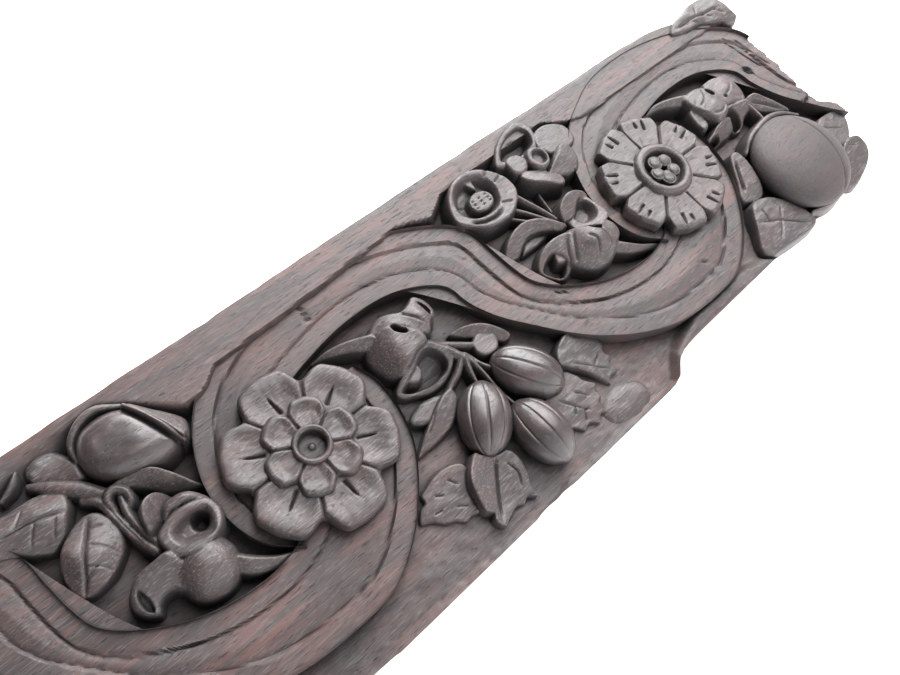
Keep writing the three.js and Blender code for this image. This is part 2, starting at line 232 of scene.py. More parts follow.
def rim_of(rows, cols):
    """The places of a grid's border, in order round it."""
    rim = [r * cols for r in range(rows)] + [(rows - 1) * cols + c for c in range(1, cols)]
    return rim + [r * cols + cols - 1 for r in range(rows - 2, -1, -1)] + list(range(cols - 2, 0, -1))


def slab(top, rim, under):
    """(points, faces) of the solid from a grid of points down to the points under its rim."""
    rows, cols = top.shape[:2]
    i, j = np.meshgrid(np.arange(rows - 1), np.arange(cols - 1), indexing="ij")
    k = (i * cols + j).ravel()
    faces = np.stack([k, k + cols, k + cols + 1, k + 1], axis=-1).tolist()
    n, start = len(rim), rows * cols
    faces += [[rim[a], start + a, start + (a + 1) % n, rim[(a + 1) % n]] for a in range(n)]
    faces.append(list(range(start, start + n)))
    return np.vstack([top.reshape(-1, 3), under]), faces


def block(u, v, h, base):
    """(points, faces) of the solid between a gridded surface and a flat base."""
    top = np.stack([u, v, h], axis=-1)
    rim = rim_of(*u.shape)
    return slab(top, rim, top.reshape(-1, 3)[rim] * (1, 1, 0) + (0, 0, base))


def joined(parts):
    """Several (points, faces) as one."""
    points, faces, start = [], [], 0
    for p, f in parts:
        points.append(p)
        faces.extend([[k + start for k in face] for face in f])
        start += len(p)
    return np.vstack(points), faces


@contextmanager
def opened(mesh):
    """The mesh as a BMesh; at the end its faces are turned outwards and it is written back."""
    bm = bmesh.new()
    bm.from_mesh(mesh)
    yield bm
    bmesh.ops.recalc_face_normals(bm, faces=bm.faces)
    bm.to_mesh(mesh)
    bm.free()


def linked(name, data):
    """A new object of these data, in the scene."""
    obj = bpy.data.objects.new(name, data)
    bpy.context.scene.collection.objects.link(obj)
    return obj


def mesh_object(name, points, faces):
    """A mesh object in the row frame from bench points, with its faces turned outwards."""
    mesh = bpy.data.meshes.new(name)
    mesh.from_pydata(on_wall(points).tolist(), [], faces)
    with opened(mesh) as bm:
        bmesh.ops.remove_doubles(bm, verts=bm.verts, dist=MERGE)
    return linked(name, mesh)


def baked(obj):
    """The object as a plain mesh, made by its modifiers."""
    mesh = bpy.data.meshes.new_from_object(obj.evaluated_get(bpy.context.evaluated_depsgraph_get()))
    if obj.type == "MESH":
        obj.modifiers.clear()
        obj.data = mesh
        return obj
    name = obj.name
    bpy.data.objects.remove(obj)
    return linked(name, mesh)


def points_of(obj):
    """The object's own points, on the bench."""
    flat = np.empty(len(obj.data.vertices) * 3)
    obj.data.vertices.foreach_get("co", flat)
    return on_bench(flat.reshape(-1, 3))


def move_points(obj, points):
    """Sets the object's points from bench places."""
    obj.data.vertices.foreach_set("co", on_wall(points).ravel())
    obj.data.update()


def trimmed(obj, other):
    """The part of a closed object that lies within another one, which is used up."""
    modifier = obj.modifiers.new("trim", "BOOLEAN")
    modifier.operation = "INTERSECT"
    modifier.solver = "MANIFOLD"
    modifier.object = other
    made = baked(obj)
    bpy.data.objects.remove(other)
    return made


def finished(obj, material, angle=CRISP):
    """Dresses a finished piece, makes it ride on the panel and stand for the CAD node."""
    if not len(obj.data.polygons):
        raise RuntimeError(obj.name + " came out empty")
    obj.data.materials.clear()
    obj.data.materials.append(material)
    obj.data.polygons.foreach_set("material_index", [0] * len(obj.data.polygons))
    obj.data.shade_smooth()
    obj.data.set_sharp_from_angle(angle=math.radians(angle))
    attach(obj, BODY)
    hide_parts(NODE)


# ---- node trees
def add(tree, kind, inputs=None, **settings):
    """A new node with its settings; an input is a value or another node's output socket."""
    node = tree.nodes.new(kind)
    for key, value in settings.items():
        setattr(node, key, value)
    for key, value in (inputs or {}).items():
        if isinstance(value, bpy.types.NodeSocket):
            tree.links.new(value, node.inputs[key])
        else:
            node.inputs[key].default_value = value
    return node


def maths(tree, operation, a, b):
    return add(tree, "ShaderNodeMath", {0: a, 1: b}, operation=operation).outputs[0]


def vectors(tree, operation, a, b):
    return add(tree, "ShaderNodeVectorMath", {0: a, 1: b}, operation=operation).outputs[0]


def new_tree(name, sockets):
    """A Geometry Nodes group with a geometry in and out and the named inputs [(name, type, default)]."""
    tree = bpy.data.node_groups.new(name, "GeometryNodeTree")
    tree.interface.new_socket("Geometry", in_out="INPUT", socket_type="NodeSocketGeometry")
    for label, kind, default in sockets:
        socket = tree.interface.new_socket(label, in_out="INPUT", socket_type=kind)
        if default is not None:
            socket.default_value = default
    tree.interface.new_socket("Geometry", in_out="OUTPUT", socket_type="NodeSocketGeometry")
    return tree, tree.nodes.new("NodeGroupInput").outputs


def end_tree(tree, geometry, material):
    """Closes a tree with Realize Instances and Set Material."""
    real = add(tree, "GeometryNodeRealizeInstances", {0: geometry}).outputs[0]
    dressed = add(tree, "GeometryNodeSetMaterial", {"Geometry": real, "Material": material}).outputs[0]
    add(tree, "NodeGroupOutput", {0: dressed})


def grown(obj, tree, values):
    """Runs a Geometry Nodes group on the object with the named values and bakes the result."""
    modifier = obj.modifiers.new(tree.name, "NODES")
    modifier.node_group = tree
    names = {s.name: s.identifier for s in tree.interface.items_tree if s.in_out == "INPUT"}
    for label, value in values.items():
        modifier[names[label]] = value
    obj.update_tag()
    bpy.context.view_layer.update()
    made = baked(obj)
    bpy.data.node_groups.remove(tree)
    return made


# ---- stained oak
def mixed(tree, factor, under, over):
    """The socket or colour `under` with `over` laid on it as far as the factor says."""
    under = under if isinstance(under, bpy.types.NodeSocket) else (*under, 1)
    return add(tree, "ShaderNodeMix", {"Factor": factor, 6: under, 7: (*over, 1)},
            data_type="RGBA").outputs[2]


def ramp(tree, factor, low, high):
    """Map Range from low..high to 0..1, clamped and smooth."""
    return add(tree, "ShaderNodeMapRange", {"Value": factor, "From Min": low, "From Max": high},
            interpolation_type="SMOOTHSTEP").outputs[0]


def noise_node(tree, vector, scale, detail=4.0, roughness=0.55, distortion=0.0):
    return add(tree, "ShaderNodeTexNoise", {"Vector": vector, "Scale": scale, "Detail": detail,
            "Roughness": roughness, "Distortion": distortion}).outputs[0]


FIBRES, PORES, RINGS = (130, 1500, 1500), (150, 1700, 1700), (9, 110, 170)  # features to a metre each way
RING_LEAN = (0, 0.12, 0.05)
PATCHES = 28.0
DEEP, TIGHT = 0.022, 0.004  # metres over which a recess and a crease get painted shade


def stretched(tree, place, scale, turn=(0, 0, 0)):
    return add(tree, "ShaderNodeMapping", {"Vector": place, "Scale": scale, "Rotation": turn}).outputs[0]


def openness(tree, distance):
    """How open the surface is to its surroundings within the distance, from 0 to 1."""
    return add(tree, "ShaderNodeAmbientOcclusion", {"Distance": distance}, samples=8).outputs["AO"]


def stained_oak(name, finish, redness, painted_sheen_share, roughness, sheen):
    """Oak with its grain along the panel, stained, waxed, with a painted sheen on its fibres, painted shade
    and dirt in the recesses and rubbed on the arrises.
    """
    material = bpy.data.materials.new(name)
    material.use_nodes = True
    tree = material.node_tree
    tree.nodes.clear()
    plus, times, most = (partial(maths, tree, operation) for operation in ("ADD", "MULTIPLY", "MAXIMUM"))
    range_of, laid = partial(ramp, tree), partial(mixed, tree)
    place = add(tree, "ShaderNodeTexCoord").outputs["Object"]
    fibres = noise_node(tree, stretched(tree, place, FIBRES), 1.0, detail=5, roughness=0.65)
    pores = range_of(noise_node(tree, stretched(tree, place, PORES), 1.0, detail=2), 0.60, 0.70)
    rings = noise_node(tree, stretched(tree, place, RINGS, RING_LEAN), 1.0, detail=4, roughness=0.65,
            distortion=0.8)
    patches = noise_node(tree, place, PATCHES, detail=4)

    thin = times(range_of(rings, 0.32, 0.78), redness)
    thin = times(thin, range_of(patches, 0.25, 0.6))
    colour = laid(thin, finish.stain, finish.warm)
    # painted sheen: light grey on the fibres, strongest on the high carving, standing in for the reflection
    # of the waxed wood
    painted_sheen = times(range_of(fibres, 0.48, 0.72), painted_sheen_share)
    colour = laid(painted_sheen, colour, finish.painted_sheen)
    colour = laid(times(pores, 0.8), colour, finish.grime_and_painted_shade)

    # painted shade: near-black laid where ambient occlusion and pointiness find recesses and creases,
    # standing in for their shade and the dirt in them
    hidden = openness(tree, DEEP)
    shade = plus(hidden, times(maths(tree, "SUBTRACT", patches, 0.5), 0.3))
    recess = times(range_of(shade, 0.75, 0.25), 0.8)
    tight = openness(tree, TIGHT)
    point = add(tree, "ShaderNodeNewGeometry").outputs["Pointiness"]
    crease = most(range_of(point, 0.485, 0.44), range_of(tight, 0.8, 0.4))
    dark = most(recess, times(crease, 0.95))
    colour = laid(dark, colour, finish.grime_and_painted_shade)

    edge = times(range_of(point, 0.53, 0.60), range_of(patches, 0.42, 0.66))
    colour = laid(times(edge, 0.6), colour, finish.worn)

    uneven = plus(times(fibres, 0.3), roughness - 0.15)
    uneven = plus(uneven, times(dark, 0.3))
    height = plus(times(fibres, 0.6), times(pores, -0.9))
    bump = add(tree, "ShaderNodeBump", {"Height": height, "Strength": 0.6, "Distance": 0.0003}).outputs[0]
    shader = add(tree, "ShaderNodeBsdfPrincipled", {
        "Base Color": colour, "Roughness": uneven, "Normal": bump,
        "Specular IOR Level": 0.55, "Coat Weight": sheen, "Coat Roughness": 0.3,
    })
    add(tree, "ShaderNodeOutputMaterial", {"Surface": shader.outputs[0]})
    return material


KINDS = {  # redness, painted sheen, roughness, coat sheen
    "flat": (1.0, 0.5, 0.55, 0.0), "high": (0.5, 0.9, 0.5, 0.1),
    "fruit": (0.35, 0.15, 0.33, 0.3), "stone": (0.3, 0.2, 0.62, 0.0),
}


def oak(kind):
    """One of the panel's finishes, made the first time it is asked for."""
    name = "oak_" + kind
    made = bpy.data.materials.get(name)
    return made or stained_oak(name, bpy.context.scene.frieze_finish, *KINDS[kind])


# ---- the plank
PLANK_OUTLINE = [
    (LEFT_END, BOTTOM_EDGE), (-60, BOTTOM_EDGE), (60, BOTTOM_EDGE), (168, BOTTOM_EDGE), (176, -97.2),
    (181, -95.5), (185, -92), (189, -88.5), (195, -86.5), (205, -85.6), (216, -85.4), (300, -84.6),
    (392, -84.5), (404, -83), (416, -77), (419, -62), (427, -44), (426, -36), (416, -27), (415, 3),
    (417, 14), (416, 30), (417, 38), (412, 53), (420, 57), (419, 68), (414, 77), (402, 79), (396, 76),
    (384, 75), (376, 77), (366, 79.5), (352, 82), (335, 83.3), (300, TOP_EDGE), (100, TOP_EDGE),
    (-60, TOP_EDGE), (LEFT_END, TOP_EDGE),
]
TOP_MARGIN = [
    (-170, 77), (-120, 76), (-88, 79), (-64, 79.5), (-52, 72), (-42, 62), (-32, 54), (-24, 54), (-10, 62),
    (112, 68), (122, 66), (134, 61), (142, 66), (150, 70), (190, 71), (236, 71), (250, 64), (262, 60),
    (420, 60),
]
LOW_MARGIN = [
    (150, -100), (178, -98), (190, -86), (214, -77), (262, -76), (285, -82), (300, -92), (430, -100),
]
LOWER_EDGE = [(160, BOTTOM_EDGE), (176, -97.3), (190, -88), (216, -85.4)]  # the trimmed step
LOWER_FACE = FACE - 6.5
OUTLINE_STEP = 1.6
BREAK = (396, 408)  # along the panel, where the sawn edges give way to the broken end
FRAY, NICKS = 2.2, 2.4  # how far the break and the long edges stray
WORN = 2.6  # width of the worn strip along a long edge


def outline_points():
    """The plank's outline at small steps, ragged along the broken end and nicked along the long edges."""
    corners = np.array(PLANK_OUTLINE)
    points = []
    for a, b in zip(corners, np.roll(corners, -1, axis=0)):
        n = max(1, int(np.hypot(*(b - a)) / OUTLINE_STEP))
        points.append(a + (b - a) * (np.arange(n) / n)[:, None])
    p = np.vstack(points)
    broken = ease(p[:, 0], *BREAK)
    p[:, 0] += broken * rough(p[:, 0] * 0.4, p[:, 1] * 2.2, size=6, seed=7) * FRAY
    nick = np.clip(rough(p[:, 0], p[:, 1], size=24, seed=21) - 0.35, 0, 1)
    along = (p[:, 0] > LEFT_END + 3) * (1 - broken)
    p[:, 1] += along * np.where(p[:, 1] > 0, -1, 1) * nick * NICKS
    return p


def outline_prism():
    """The plank's outline as a tall block that other pieces are trimmed to."""
    p = outline_points()
    return mesh_object("outline", *loft([np.column_stack([p, np.full(len(p), h)]) for h in (-1.0, CLEAR)]))


def plank_height(u, v, adze, chips):
    """How high the plank's worked surface stands over its back."""
    ground = GROUND + 0.8 * rough(u, v, size=34, octaves=2, seed=3)
    ground = ground + adze * rough(u * 0.8 + v * 0.3, v, size=7.5, seed=5)
    top = np.interp(u, *np.array(TOP_MARGIN).T) + 1.1 * rough(u, v, size=9, octaves=2, seed=9)
    low = np.interp(u, *np.array(LOW_MARGIN).T) + 0.9 * rough(u, v, size=9, octaves=2, seed=11)
    face = FACE - 0.5 - 1.6 * ease(u, 205, 240) + 0.22 * rough(u * 0.3, v, size=12, seed=13)
    slope = 3.0 + 7.0 * ease(-u, 20, 50)  # carved down more gently at the left end
    shelf = ease(v - top, -slope, 0.0)
    lower = LOWER_FACE + 0.8 * rough(u, v, size=14, seed=15)
    ledge = ease(low - v, -6.0, 2.0)
    h = ground + (face - ground) * shelf
    h = np.maximum(h, ground + (lower - ground) * ledge)
    wear = chips * (0.4 + 0.9 * np.clip(rough(u, v, size=16, seed=17), -0.4, 1))
    h = h - wear * ease(v, TOP_EDGE - WORN, TOP_EDGE + 0.4)
    edge = np.interp(u, *np.array(LOWER_EDGE).T)
    return h - wear * ease(-v, -edge - WORN, -edge + 0.4)


def make_plank(settings):
    """The plank with its ground, margins and worn edges, trimmed to its outline."""
    step = settings.grid / MM
    us = np.arange(LEFT_END - 2, RIGHT_END + 16, step)
    vs = np.arange(BOTTOM_EDGE - 2, TOP_EDGE + 2, step)
    u, v = np.meshgrid(us, vs, indexing="ij")
    h = plank_height(u, v, settings.adze / MM, settings.chips / MM)
    plank = mesh_object("oak_plank", *block(u, v, h, 0.0))
    return trimmed(plank, outline_prism())


# ---- the running scroll
SCROLL_OUTER = [
    (-31, -35), (-45, -20), (-50, 0), (-48, 20), (-38, 41), (-22, 58), (-4, 68), (16, 76), (40, 79),
    (64, 78.5), (86, 75), (106, 69), (124, 61), (139, 51), (146, 40), (147.5, 24), (149, 10), (152, -2),
    (159, -11), (171, -20), (186, -28), (204, -33), (224, -34), (240, -30), (252, -22), (262, -16),
    (270, -8), (276, 2), (280, 10), (284, 18), (290, 22),
]
SCROLL_INNER = [
    (-12, -20), (-14, -13), (-14, -1), (-12, 13), (-4, 24), (7, 30), (19, 34.5), (32, 37.5), (46, 40),
    (60, 41), (75, 40.5), (89, 37.5), (101, 32), (109, 26), (112.5, 20), (113.5, 12), (116.5, 3), (123, -9),
    (133, -22), (146, -38), (161, -52), (181, -65), (204, -74), (232, -77), (258, -75), (280, -63),
    (297, -47), (310, -29), (316, -10), (317, 6), (313, 20),
]
SECTION_WIDTH = 40.0
COPIES = 3
NAIL = (393.5, 19.5)
NAIL_HOLE = (3.0, 2.9, 3.7)  # depth, and the radii of its floor and mouth
NAIL_PLUG = (-2.0, 1.7, 2.5)  # the plug left in it stands up from its floor
SCROLL_CUTS = [  # cracks and slips of the chisel, with their depths
    ([(41.5, 54), (42, 62), (41, 70)], 1.4), ([(398, -21), (406, -22), (416, -21)], 1.6),
    ([(159, -16), (164, -19)], 1.6), ([(246, -56), (249, -59)], 1.4),
    ([(400, 47), (402, 33), (406, 17)], 1.4), ([(407, 41), (409, 28), (412, 14)], 1.4),
    ([(386, 59), (394, 55), (402, 50)], 0.8),
]


def scroll_section():
    """How the strip's points spread across the moulding: up one side, over the top, down the other."""
    half = [(0, GROUND - 1), (-0.2, FACE - 4), (0, FACE - 0.9), (0.5, FACE - 0.2), (SECTION_WIDTH / 2, FACE)]
    return half + [(SECTION_WIDTH - x, h) for x, h in reversed(half[:-1])]


FLOOR_RISE = 1.2  # how much the channel's floor rises towards its middle
FILLET_LINE = 0.6  # depth of the knife line at the foot of each fillet


def moulding(outside, inside, fillet, hollow):
    """The height of the moulding's top at these distances in from its two edges."""
    h = FACE - 0.7 * (1 - ease(np.minimum(outside, inside), -0.2, 0.9))
    for gap, soft in ((outside - fillet, 1.6), (inside - fillet * 1.06, 2.4)):
        floor = hollow - FLOOR_RISE * ease(gap, 1, 15)
        line = FILLET_LINE * np.exp(-((gap - soft) / 0.9) ** 2)
        h = np.minimum(h, FACE - (floor + line) * ease(gap, 0, soft))
    return h


def curve_object(name, polylines):
    """A curve object with one open poly spline for each list of bench points."""
    curve = bpy.data.curves.new(name, "CURVE")
    curve.dimensions = "3D"
    for line in polylines:
        made = curve.splines.new("POLY")
        made.points.add(len(line) - 1)
        made.points.foreach_set("co", np.column_stack([line, np.ones(len(line))]).ravel())
    return linked(name, curve)


def scroll_tree():
    """A moulding between two edge curves, repeated: splines 0 and 1 are its edges, 2 its section."""
    tree, given = new_tree("running_scroll", [
        ("Steps along", "NodeSocketInt", 400), ("Steps across", "NodeSocketInt", 84),
        ("Section width", "NodeSocketFloat", SECTION_WIDTH * MM), ("Period", "NodeSocketFloat", PERIOD * MM),
        ("Copies", "NodeSocketInt", COPIES), ("Material", "NodeSocketMaterial", None),
    ])
    plus, times = (partial(maths, tree, operation) for operation in ("ADD", "MULTIPLY"))
    grid = add(tree, "GeometryNodeMeshGrid", {"Size X": 1.0, "Size Y": 1.0,
            "Vertices X": given["Steps along"], "Vertices Y": given["Steps across"]})
    place = add(tree, "ShaderNodeSeparateXYZ", {0: add(tree, "GeometryNodeInputPosition").outputs[0]}).outputs
    along = plus(place[0], 0.5)
    across = plus(place[1], 0.5)

    def sampled(factor, index):
        node = add(tree, "GeometryNodeSampleCurve", {"Curves": given["Geometry"], "Factor": factor},
                mode="FACTOR")
        node.inputs["Curve Index"].default_value = index
        return node.outputs["Position"]

    outer, inner = sampled(along, 0), sampled(along, 1)
    section = add(tree, "ShaderNodeSeparateXYZ", {0: sampled(across, 2)}).outputs
    share = maths(tree, "DIVIDE", section[0], given["Section width"])
    flat = add(tree, "ShaderNodeMix", {"Factor": share, 4: outer, 5: inner}, data_type="VECTOR").outputs[1]
    lift = add(tree, "ShaderNodeCombineXYZ", {1: times(section[1], -1.0)}).outputs[0]
    shaped = add(tree, "GeometryNodeSetPosition", {"Geometry": grid.outputs["Mesh"],
            "Position": vectors(tree, "ADD", flat, lift)}).outputs[0]
    step = add(tree, "ShaderNodeCombineXYZ", {0: given["Period"]}).outputs[0]
    first = vectors(tree, "MULTIPLY", step, (-1, 0, 0))
    row = add(tree, "GeometryNodeMeshLine", {"Count": given["Copies"], "Start Location": first,
            "Offset": step}, mode="OFFSET").outputs[0]
    copies = add(tree, "GeometryNodeInstanceOnPoints", {"Points": row, "Instance": shaped}).outputs[0]
    end_tree(tree, copies, given["Material"])
    return tree


def make_scroll(settings):
    """The S-shaped moulding between its two edges, three times, trimmed to the plank."""
    section = np.array(scroll_section()) * MM
    lines = [spline(edge, 240) for edge in (SCROLL_OUTER, SCROLL_INNER)]
    edges = [on_wall(np.column_stack([line, np.zeros(len(line))])) for line in lines]
    drawn = curve_object("running_scroll", edges + [np.column_stack([section, np.zeros(len(section))])])
    scroll = grown(drawn, scroll_tree(), {
        "Steps along": settings.along, "Steps across": settings.across, "Section width": SECTION_WIDTH * MM,
        "Period": PERIOD * MM, "Copies": COPIES, "Material": oak("flat"),
    })
    p = points_of(scroll)
    one = p[:len(p) // COPIES] + (PERIOD, 0, 0)  # the first copy, set back on the drawn lines
    gaps = [nearest(one[:, 0], one[:, 1], line)[0] for line in lines]
    top = moulding(*gaps, settings.fillet / MM, settings.hollow / MM)
    top = np.where(one[:, 2] > FACE - 0.95, top, one[:, 2])
    p[:, 2] = np.tile(top, COPIES)
    move_points(scroll, p)
    with opened(scroll.data) as bm:
        bmesh.ops.holes_fill(bm, edges=bm.edges)
    p = points_of(scroll)
    for path, depth in SCROLL_CUTS:
        gap = nearest(p[:, 0], p[:, 1], spline(path, 16))[0]
        p[:, 2] -= depth * (p[:, 2] > FACE - 7) * np.exp(-(gap / 0.7) ** 2)
    away = np.hypot(p[:, 0] - NAIL[0], p[:, 1] - NAIL[1])
    p[:, 2] -= sum(depth * (1 - ease(away, inner, outer)) for depth, inner, outer in (NAIL_HOLE, NAIL_PLUG))
    p[:, 2] += 0.18 * rough(p[:, 0] * 0.5, p[:, 1], size=14, octaves=2, seed=31)
    dents = np.clip(rough(p[:, 0], p[:, 1], size=10, seed=33) - 0.25, 0, 1)
    p[:, 2] -= 0.5 * ease(p[:, 2], FACE - 2, FACE) * dents
    move_points(scroll, p)
    return trimmed(scroll, outline_prism())


# ---- rosettes
TAPER = 0.95  # a petal's width at its foot, as a share of its width above


def petal(count, reach, start, notch, rim, dish, roll, blunt, slits=(), rows=64, cols=61):
    """One petal of a whorl of `count`, pointing along +u from the flower's middle.

    It starts at the radius `start`, reaches `reach` at its middle and `notch` at its corners. `rim` is the
    height of its edge before it rolls over by `roll`, and `dish` how far its middle lies below that. Its end
    is level over the share `blunt` of its width. A slit is (from radius, to radius, lean in degrees).
    """
    half = math.pi / count
    angle = np.linspace(-1, 1, cols) * half
    share = np.abs(angle) / half
    edge = reach - (reach - notch) * ease(share, blunt, 1.0) ** 1.4 - 0.4 * np.sin(3 * angle * count / 2) ** 2
    t = np.linspace(0, 1, rows)[:, None]
    r = start + (edge - start) * t
    x, y = r * np.cos(angle), r * np.sin(angle)
    inset = edge - r
    aside = np.minimum(r * np.sin(np.maximum(half - np.abs(angle), 0)), inset)
    span = reach - start
    h = rim - dish * ease(inset, span * 0.12, span * 0.5) * (0.4 + 0.6 * ease(aside, 0, span * 0.35))
    h = h - roll * (1 - ease(inset, -1.6, 4.0)) ** 2 - 1.5 * (1 - ease(aside, -0.3, 1.5))
    h = h + 0.22 * rough(x * 0.3, y, size=3, octaves=2, seed=int(reach))
    for a, b, lean in slits:
        off = y * math.cos(math.radians(lean)) - x * math.sin(math.radians(lean))
        along = ease(x, a - 1, a) * (1 - ease(x, b - 4, b))
        h = h - 1.7 * along * np.exp(-(off / (0.35 + 0.5 * (1 - ease(x, a, b)))) ** 2)
    border = rim_of(rows, cols)
    border = border[:1] + border[:0:-1]  # from the same corner, the other way round
    middle = np.array([(start + reach) / 2, 0, ROOT])
    foot = np.stack([x, y, np.full_like(h, ROOT)], axis=-1).reshape(-1, 3)[border]
    foot = middle + (foot - middle) * (TAPER, TAPER, 1)
    return slab(np.stack([x, y, h], axis=-1), border, foot)


WOBBLE = (0.4, 1.6, 0.4)  # how far a petal leans about each axis, as a share of the unevenness


def whorl_tree():
    """The object's own petal, turned round a centre as many times as asked."""
    tree, given = new_tree("whorl", [
        ("Petals", "NodeSocketInt", 6), ("First angle", "NodeSocketFloat", 0.0),
        ("Centre", "NodeSocketVector", None), ("Unevenness", "NodeSocketFloat", 0.02),
        ("Seed", "NodeSocketInt", 1), ("Material", "NodeSocketMaterial", None),
    ])
    plus, times = (partial(maths, tree, operation) for operation in ("ADD", "MULTIPLY"))
    petals = add(tree, "GeometryNodePoints", {"Count": given["Petals"],
            "Position": given["Centre"]}).outputs[0]
    index = add(tree, "GeometryNodeInputIndex").outputs[0]
    step = maths(tree, "DIVIDE", 2 * math.pi, given["Petals"])
    turn = plus(times(index, step), given["First angle"])
    axis = add(tree, "ShaderNodeCombineXYZ", {1: times(turn, -1.0)}).outputs[0]
    uneven = given["Unevenness"]
    spread = add(tree, "ShaderNodeCombineXYZ", {0: uneven, 1: uneven, 2: uneven}).outputs[0]
    least, most = (vectors(tree, "MULTIPLY", spread, tuple(sign * k for k in WOBBLE)) for sign in (-1, 1))
    wobble = add(tree, "FunctionNodeRandomValue", {"Min": least, "Max": most, "ID": index,
            "Seed": given["Seed"]}, data_type="FLOAT_VECTOR").outputs[0]
    small, large = (maths(tree, operation, 1.0, uneven) for operation in ("SUBTRACT", "ADD"))
    grow = add(tree, "FunctionNodeRandomValue", {2: small, 3: large, "ID": index, "Seed": given["Seed"]},
            data_type="FLOAT").outputs[1]
    size = add(tree, "ShaderNodeCombineXYZ", {0: grow, 1: 1.0, 2: grow}).outputs[0]
    copies = add(tree, "GeometryNodeInstanceOnPoints", {
        "Points": petals, "Instance": given["Geometry"], "Rotation": vectors(tree, "ADD", axis, wobble),
        "Scale": size,
    }).outputs[0]
    end_tree(tree, copies, given["Material"])
    return tree


def whorl(name, one, count, first, centre, unevenness, seed):
    """`count` copies of one petal round `centre`, the first at `first` degrees, as (points, faces)."""
    points, faces = one
    local = points + (*MIDDLE, 0)  # so that the petal turns about the row frame's Y axis
    obj = grown(mesh_object(name, local, faces), whorl_tree(), {
        "Petals": count, "First angle": math.radians(first), "Centre": tuple(on_wall((*centre, 0))),
        "Unevenness": unevenness, "Seed": seed, "Material": oak("high"),
    })
    return taken(obj)


def taken(obj):
    """An object's (points, faces); the object itself is deleted."""
    points = points_of(obj)
    faces = [list(f.vertices) for f in obj.data.polygons]
    bpy.data.objects.remove(obj)
    return points, faces


def round_of(count):
    """Angles at even steps round a full turn."""
    return np.arange(count) * 2 * np.pi / count


def turned(centre, profile, around, seed, uneven=0.12):
    """A form turned about an upright axis from its profile of (radius, height), from the middle out."""
    line = spline(profile, 4 * len(profile))
    angle = round_of(around)
    r, h = np.maximum(line[:, :1], 0.02), line[:, 1:2]
    u, v = centre[0] + r * np.cos(angle), centre[1] + r * np.sin(angle)
    lift = uneven * rough(u, v, size=4, octaves=2, seed=seed)
    return loft(np.stack([u, v, h + lift], axis=-1))


RING_STEPS, SEED_STEPS = 96, 28
SEED_RING = 6.3
SEEDS = ((38, 4.4), (108, 4.9), (182, 4.5), (250, 5.0), (322, 4.3))  # the angle and radius of each seed


def make_rose(settings):
    """The large rosette: two whorls of petals round a pierced ring."""
    reach = settings.reach / MM
    outer = petal(settings.outer_petals, reach, 12, reach * 0.80, 31.6, 1.7, 2.8, 0.36, [(22, 33, 2)])
    inner = petal(settings.inner_petals, reach * 0.575, 8.8, reach * 0.45, 33.8, 1.5, 1.8, 0.3,
            rows=40, cols=49)
    ring = turned(ROSE, [(0, 30.2), (1.2, 30.0), (2.2, 29.3), (5.6, 29.2), (6.5, 29.6), (6.9, 33.6),
            (7.5, 34.8), (8.6, 35.2), (9.5, 34.4), (9.9, 32.4), (10.9, 31.6), (12.4, 31.8), (12.8, 28),
            (12.8, ROOT)], RING_STEPS, 51)
    parts = [
        whorl("outer_whorl", outer, settings.outer_petals, 30, ROSE, 0.014, 3),
        whorl("inner_whorl", inner, settings.inner_petals, 0, ROSE, 0.010, 5),
        ring,
    ]
    return mesh_object("rose", *joined(parts))


def make_daisy(settings):
    """The second rosette: one whorl round a bowl of seeds."""
    reach = settings.daisy_reach / MM
    one = petal(settings.daisy_petals, reach, 14, reach * 0.86, 30.4, 0.5, 2.0, 0.62,
            [(33, 39, 4), (31, 40, -5)])
    bowl = turned(DAISY, [(0, 28.0), (6, 27.8), (10.8, 28.2), (12.2, 30.4), (13.2, 32.6), (15.2, 33.4),
            (17.4, 32.4), (18.6, 30.2), (19.4, 28.4), (19.4, ROOT)], RING_STEPS, 53, uneven=0.3)
    seeds = []
    for angle, size in SEEDS:
        lean = math.radians(angle)
        place = (DAISY[0] + SEED_RING * math.cos(lean), DAISY[1] + SEED_RING * math.sin(lean))
        profile = [(0, 33.2), (size * 0.5, 33.0), (size * 0.8, 32.0), (size, 29.6), (size, ROOT)]
        seeds.append(turned(place, profile, SEED_STEPS, 54 + angle, uneven=0.5))
    parts = [whorl("daisy_whorl", one, settings.daisy_petals, 22.5, DAISY, 0.012, 8), bowl, *seeds]
    return mesh_object("daisy", *joined(parts))


# ---- carved fruit, stems and leaves
PLUM_LINES = (48, 88, 126)  # where the knife lines run, in degrees round a plum
PLUM_GRID = (56, 150)
PEACH_GRID = (60, 180)
PEACH_BULGE = 0.42  # the share of its height at which the peach is widest


def plum(centre, length, width, turn, top):
    """A plum lying on the ground, with lengthwise knife lines and a small tip."""
    rows, around = PLUM_GRID
    a = np.linspace(-0.995, 0.995, rows)
    a = np.sin(a * np.pi / 2)[:, None]
    angle = round_of(around)[None, :]
    girth = np.sqrt(1 - a ** 2) ** 0.92
    groove = np.zeros_like(a * angle)
    for line in PLUM_LINES:
        off = np.abs(angle - math.radians(line)) * girth * width / 2
        groove = np.maximum(groove, np.exp(-(off / 0.55) ** 2) * ease(girth, 0.1, 0.35))
    half_height = (top - GROUND) * 0.62
    x = a * length / 2 * (1 + 0.04 * ease(np.abs(a), 0.93, 1))
    r = girth * (1 - 0.055 * groove)
    y, z = r * np.cos(angle) * width / 2, r * np.sin(angle) * half_height
    c, s = math.cos(math.radians(turn)), math.sin(math.radians(turn))
    u, v = centre[0] + x * c - y * s, centre[1] + x * s + y * c
    h = top - half_height + z + 0.12 * rough(u, v, size=7, seed=61)
    return loft(np.stack(np.broadcast_arrays(u, v, h), axis=-1))


PLUMS = [  # middle, length, width, turn in degrees and top
    ((77, -43), 39, 29, 52, 32), ((113, -39), 40, 29, -58, 31), ((95.5, -67), 39, 28, 92, 32.5),
]


def make_plums():
    """The three plums."""
    return mesh_object("plums", *joined([plum(*one) for one in PLUMS]))


